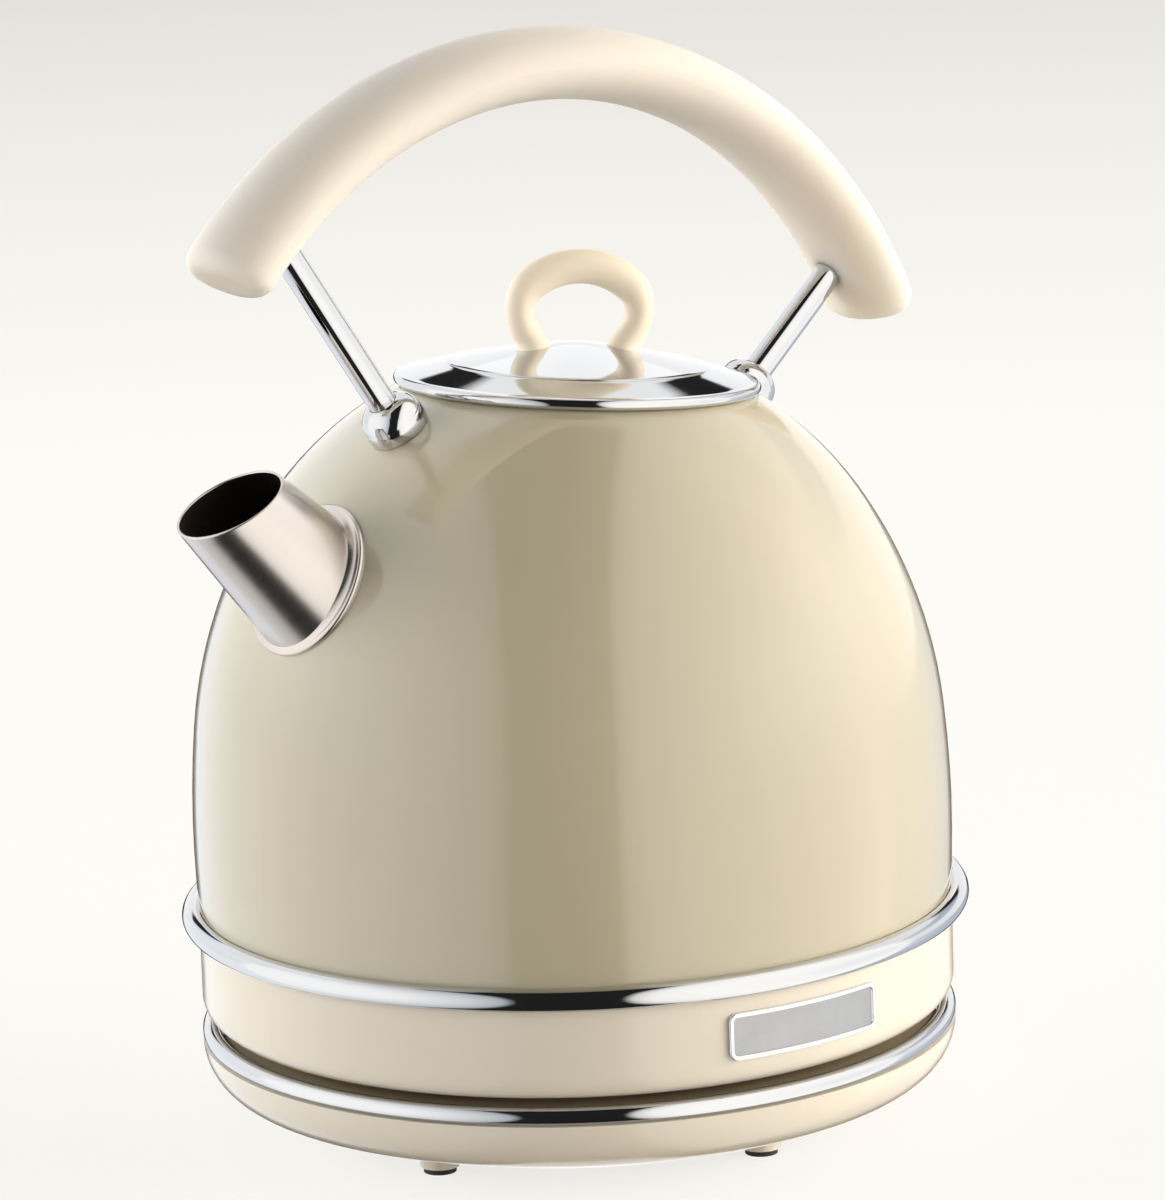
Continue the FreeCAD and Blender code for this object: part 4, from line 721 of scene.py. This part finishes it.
def makeWorld(strip):
    # mirrors see one room and matte surfaces the other, while the camera sees the far backdrop
    world = bpy.data.worlds.new("studioRoom")
    scene.world = world
    world.use_nodes = True
    tree = world.node_tree
    tree.nodes.clear()
    direction = addNode(tree, "ShaderNodeTexCoord").outputs["Generated"]
    towards = (math.cos(cameraTurn), math.sin(cameraTurn), 0)
    sideways = (-math.sin(cameraTurn), math.cos(cameraTurn), 0)
    dots = [addNode(tree, "ShaderNodeVectorMath", {0: direction, 1: axis}, operation="DOT_PRODUCT")
            for axis in (towards, sideways)]
    facing, leaning = (dot.outputs["Value"] for dot in dots)
    rising = addNode(tree, "ShaderNodeSeparateXYZ", {0: direction}).outputs["Z"]
    across = addNode(tree, "ShaderNodeMapRange", {
        "Value": leaning, "From Min": -1.0, "From Max": 1.0}).outputs["Result"]
    middle = addNode(tree, "ShaderNodeMath", {0: rising, 1: strip["drift"], 2: strip["middle"]},
                     operation="MULTIPLY_ADD").outputs[0]
    offset = addNode(tree, "ShaderNodeMath", {0: leaning, 1: middle}, operation="SUBTRACT").outputs[0]
    apart = addNode(tree, "ShaderNodeMath", {0: offset}, operation="ABSOLUTE").outputs[0]
    inside = addNode(tree, "ShaderNodeMath", {0: strip["half"], 1: apart}, operation="SUBTRACT").outputs[0]
    onStrip = addNode(tree, "ShaderNodeMapRange", {
        "Value": inside, "From Min": -strip["blend"], "From Max": strip["blend"]}).outputs["Result"]
    matte, mirror = (makeRoom(tree, studioRooms[name], facing, across, rising, onStrip)
                     for name in ("matte", "mirror"))
    rays = addNode(tree, "ShaderNodeLightPath")
    lit = addNode(tree, "ShaderNodeMixShader", {0: rays.outputs["Is Glossy Ray"], 1: matte, 2: mirror})
    seen = addNode(tree, "ShaderNodeBackground", {"Color": linear(backdrop["far"]), "Strength": 1.0})
    either = addNode(tree, "ShaderNodeMixShader", {
        0: rays.outputs["Is Camera Ray"], 1: lit.outputs[0], 2: seen.outputs[0]})
    addNode(tree, "ShaderNodeOutputWorld", {"Surface": either.outputs[0]})


paleFloor = {"half": 12.0, "shadow": 0.25, "bounce": "d2d0cb", "glow": 0.08}


def makeFloor(values):
    # the floor shows the backdrop's colour to the camera, less part of the shadow that falls on it; its fade
    # from the pale near colour round the kettle to the darker far one with distance is a painted pool of light;
    # and it bounces light of a darker tint
    material = bpy.data.materials.new("paleFloor")
    material.use_nodes = True
    tree = material.node_tree
    tree.nodes.clear()
    toCamera = addNode(tree, "ShaderNodeLightPath").outputs["Is Camera Ray"]
    place = addNode(tree, "ShaderNodeTexCoord").outputs["Object"]
    away = addNode(tree, "ShaderNodeVectorMath", {0: place}, operation="LENGTH").outputs["Value"]
    fadeFrom, fadeTo = backdrop["fade"]
    fade = addNode(tree, "ShaderNodeMapRange", {
        "Value": away, "From Min": fadeFrom, "From Max": fadeTo}).outputs["Result"]
    near, far, bounce = (linear(tint) for tint in (backdrop["near"], backdrop["far"], values["bounce"]))
    pale = addNode(tree, "ShaderNodeMix", {"Factor": fade, 6: near, 7: far}, data_type="RGBA").outputs[2]
    ground = addNode(tree, "ShaderNodeMix", {"Factor": toCamera, 6: bounce, 7: pale},
                     data_type="RGBA").outputs[2]
    matte = addNode(tree, "ShaderNodeBsdfDiffuse", {"Color": ground})
    glow = addNode(tree, "ShaderNodeEmission", {"Color": ground, "Strength": values["glow"]})
    table = addNode(tree, "ShaderNodeAddShader", {0: matte.outputs[0], 1: glow.outputs[0]})
    plain = addNode(tree, "ShaderNodeEmission", {"Color": pale, "Strength": 1.0})
    share = addNode(tree, "ShaderNodeMath", {0: toCamera, 1: 1 - values["shadow"]}, operation="MULTIPLY")
    shown = addNode(tree, "ShaderNodeMixShader", {
        0: share.outputs[0], 1: table.outputs[0], 2: plain.outputs[0]})
    addNode(tree, "ShaderNodeOutputMaterial", {"Surface": shown.outputs[0]})
    half = values["half"]
    mesh = bpy.data.meshes.new("floor")
    mesh.from_pydata([(-half, -half, 0), (half, -half, 0), (half, half, 0), (-half, half, 0)], [],
                     [(0, 1, 2, 3)])
    mesh.materials.append(material)
    floor = bpy.data.objects.new("floor", mesh)
    scene.collection.objects.link(floor)
    floor.visible_glossy = False


makeCamera(studioCamera)
makeFill(frontFill)
makeWorld(litStrip)
makeFloor(paleFloor)
print("studio ready")
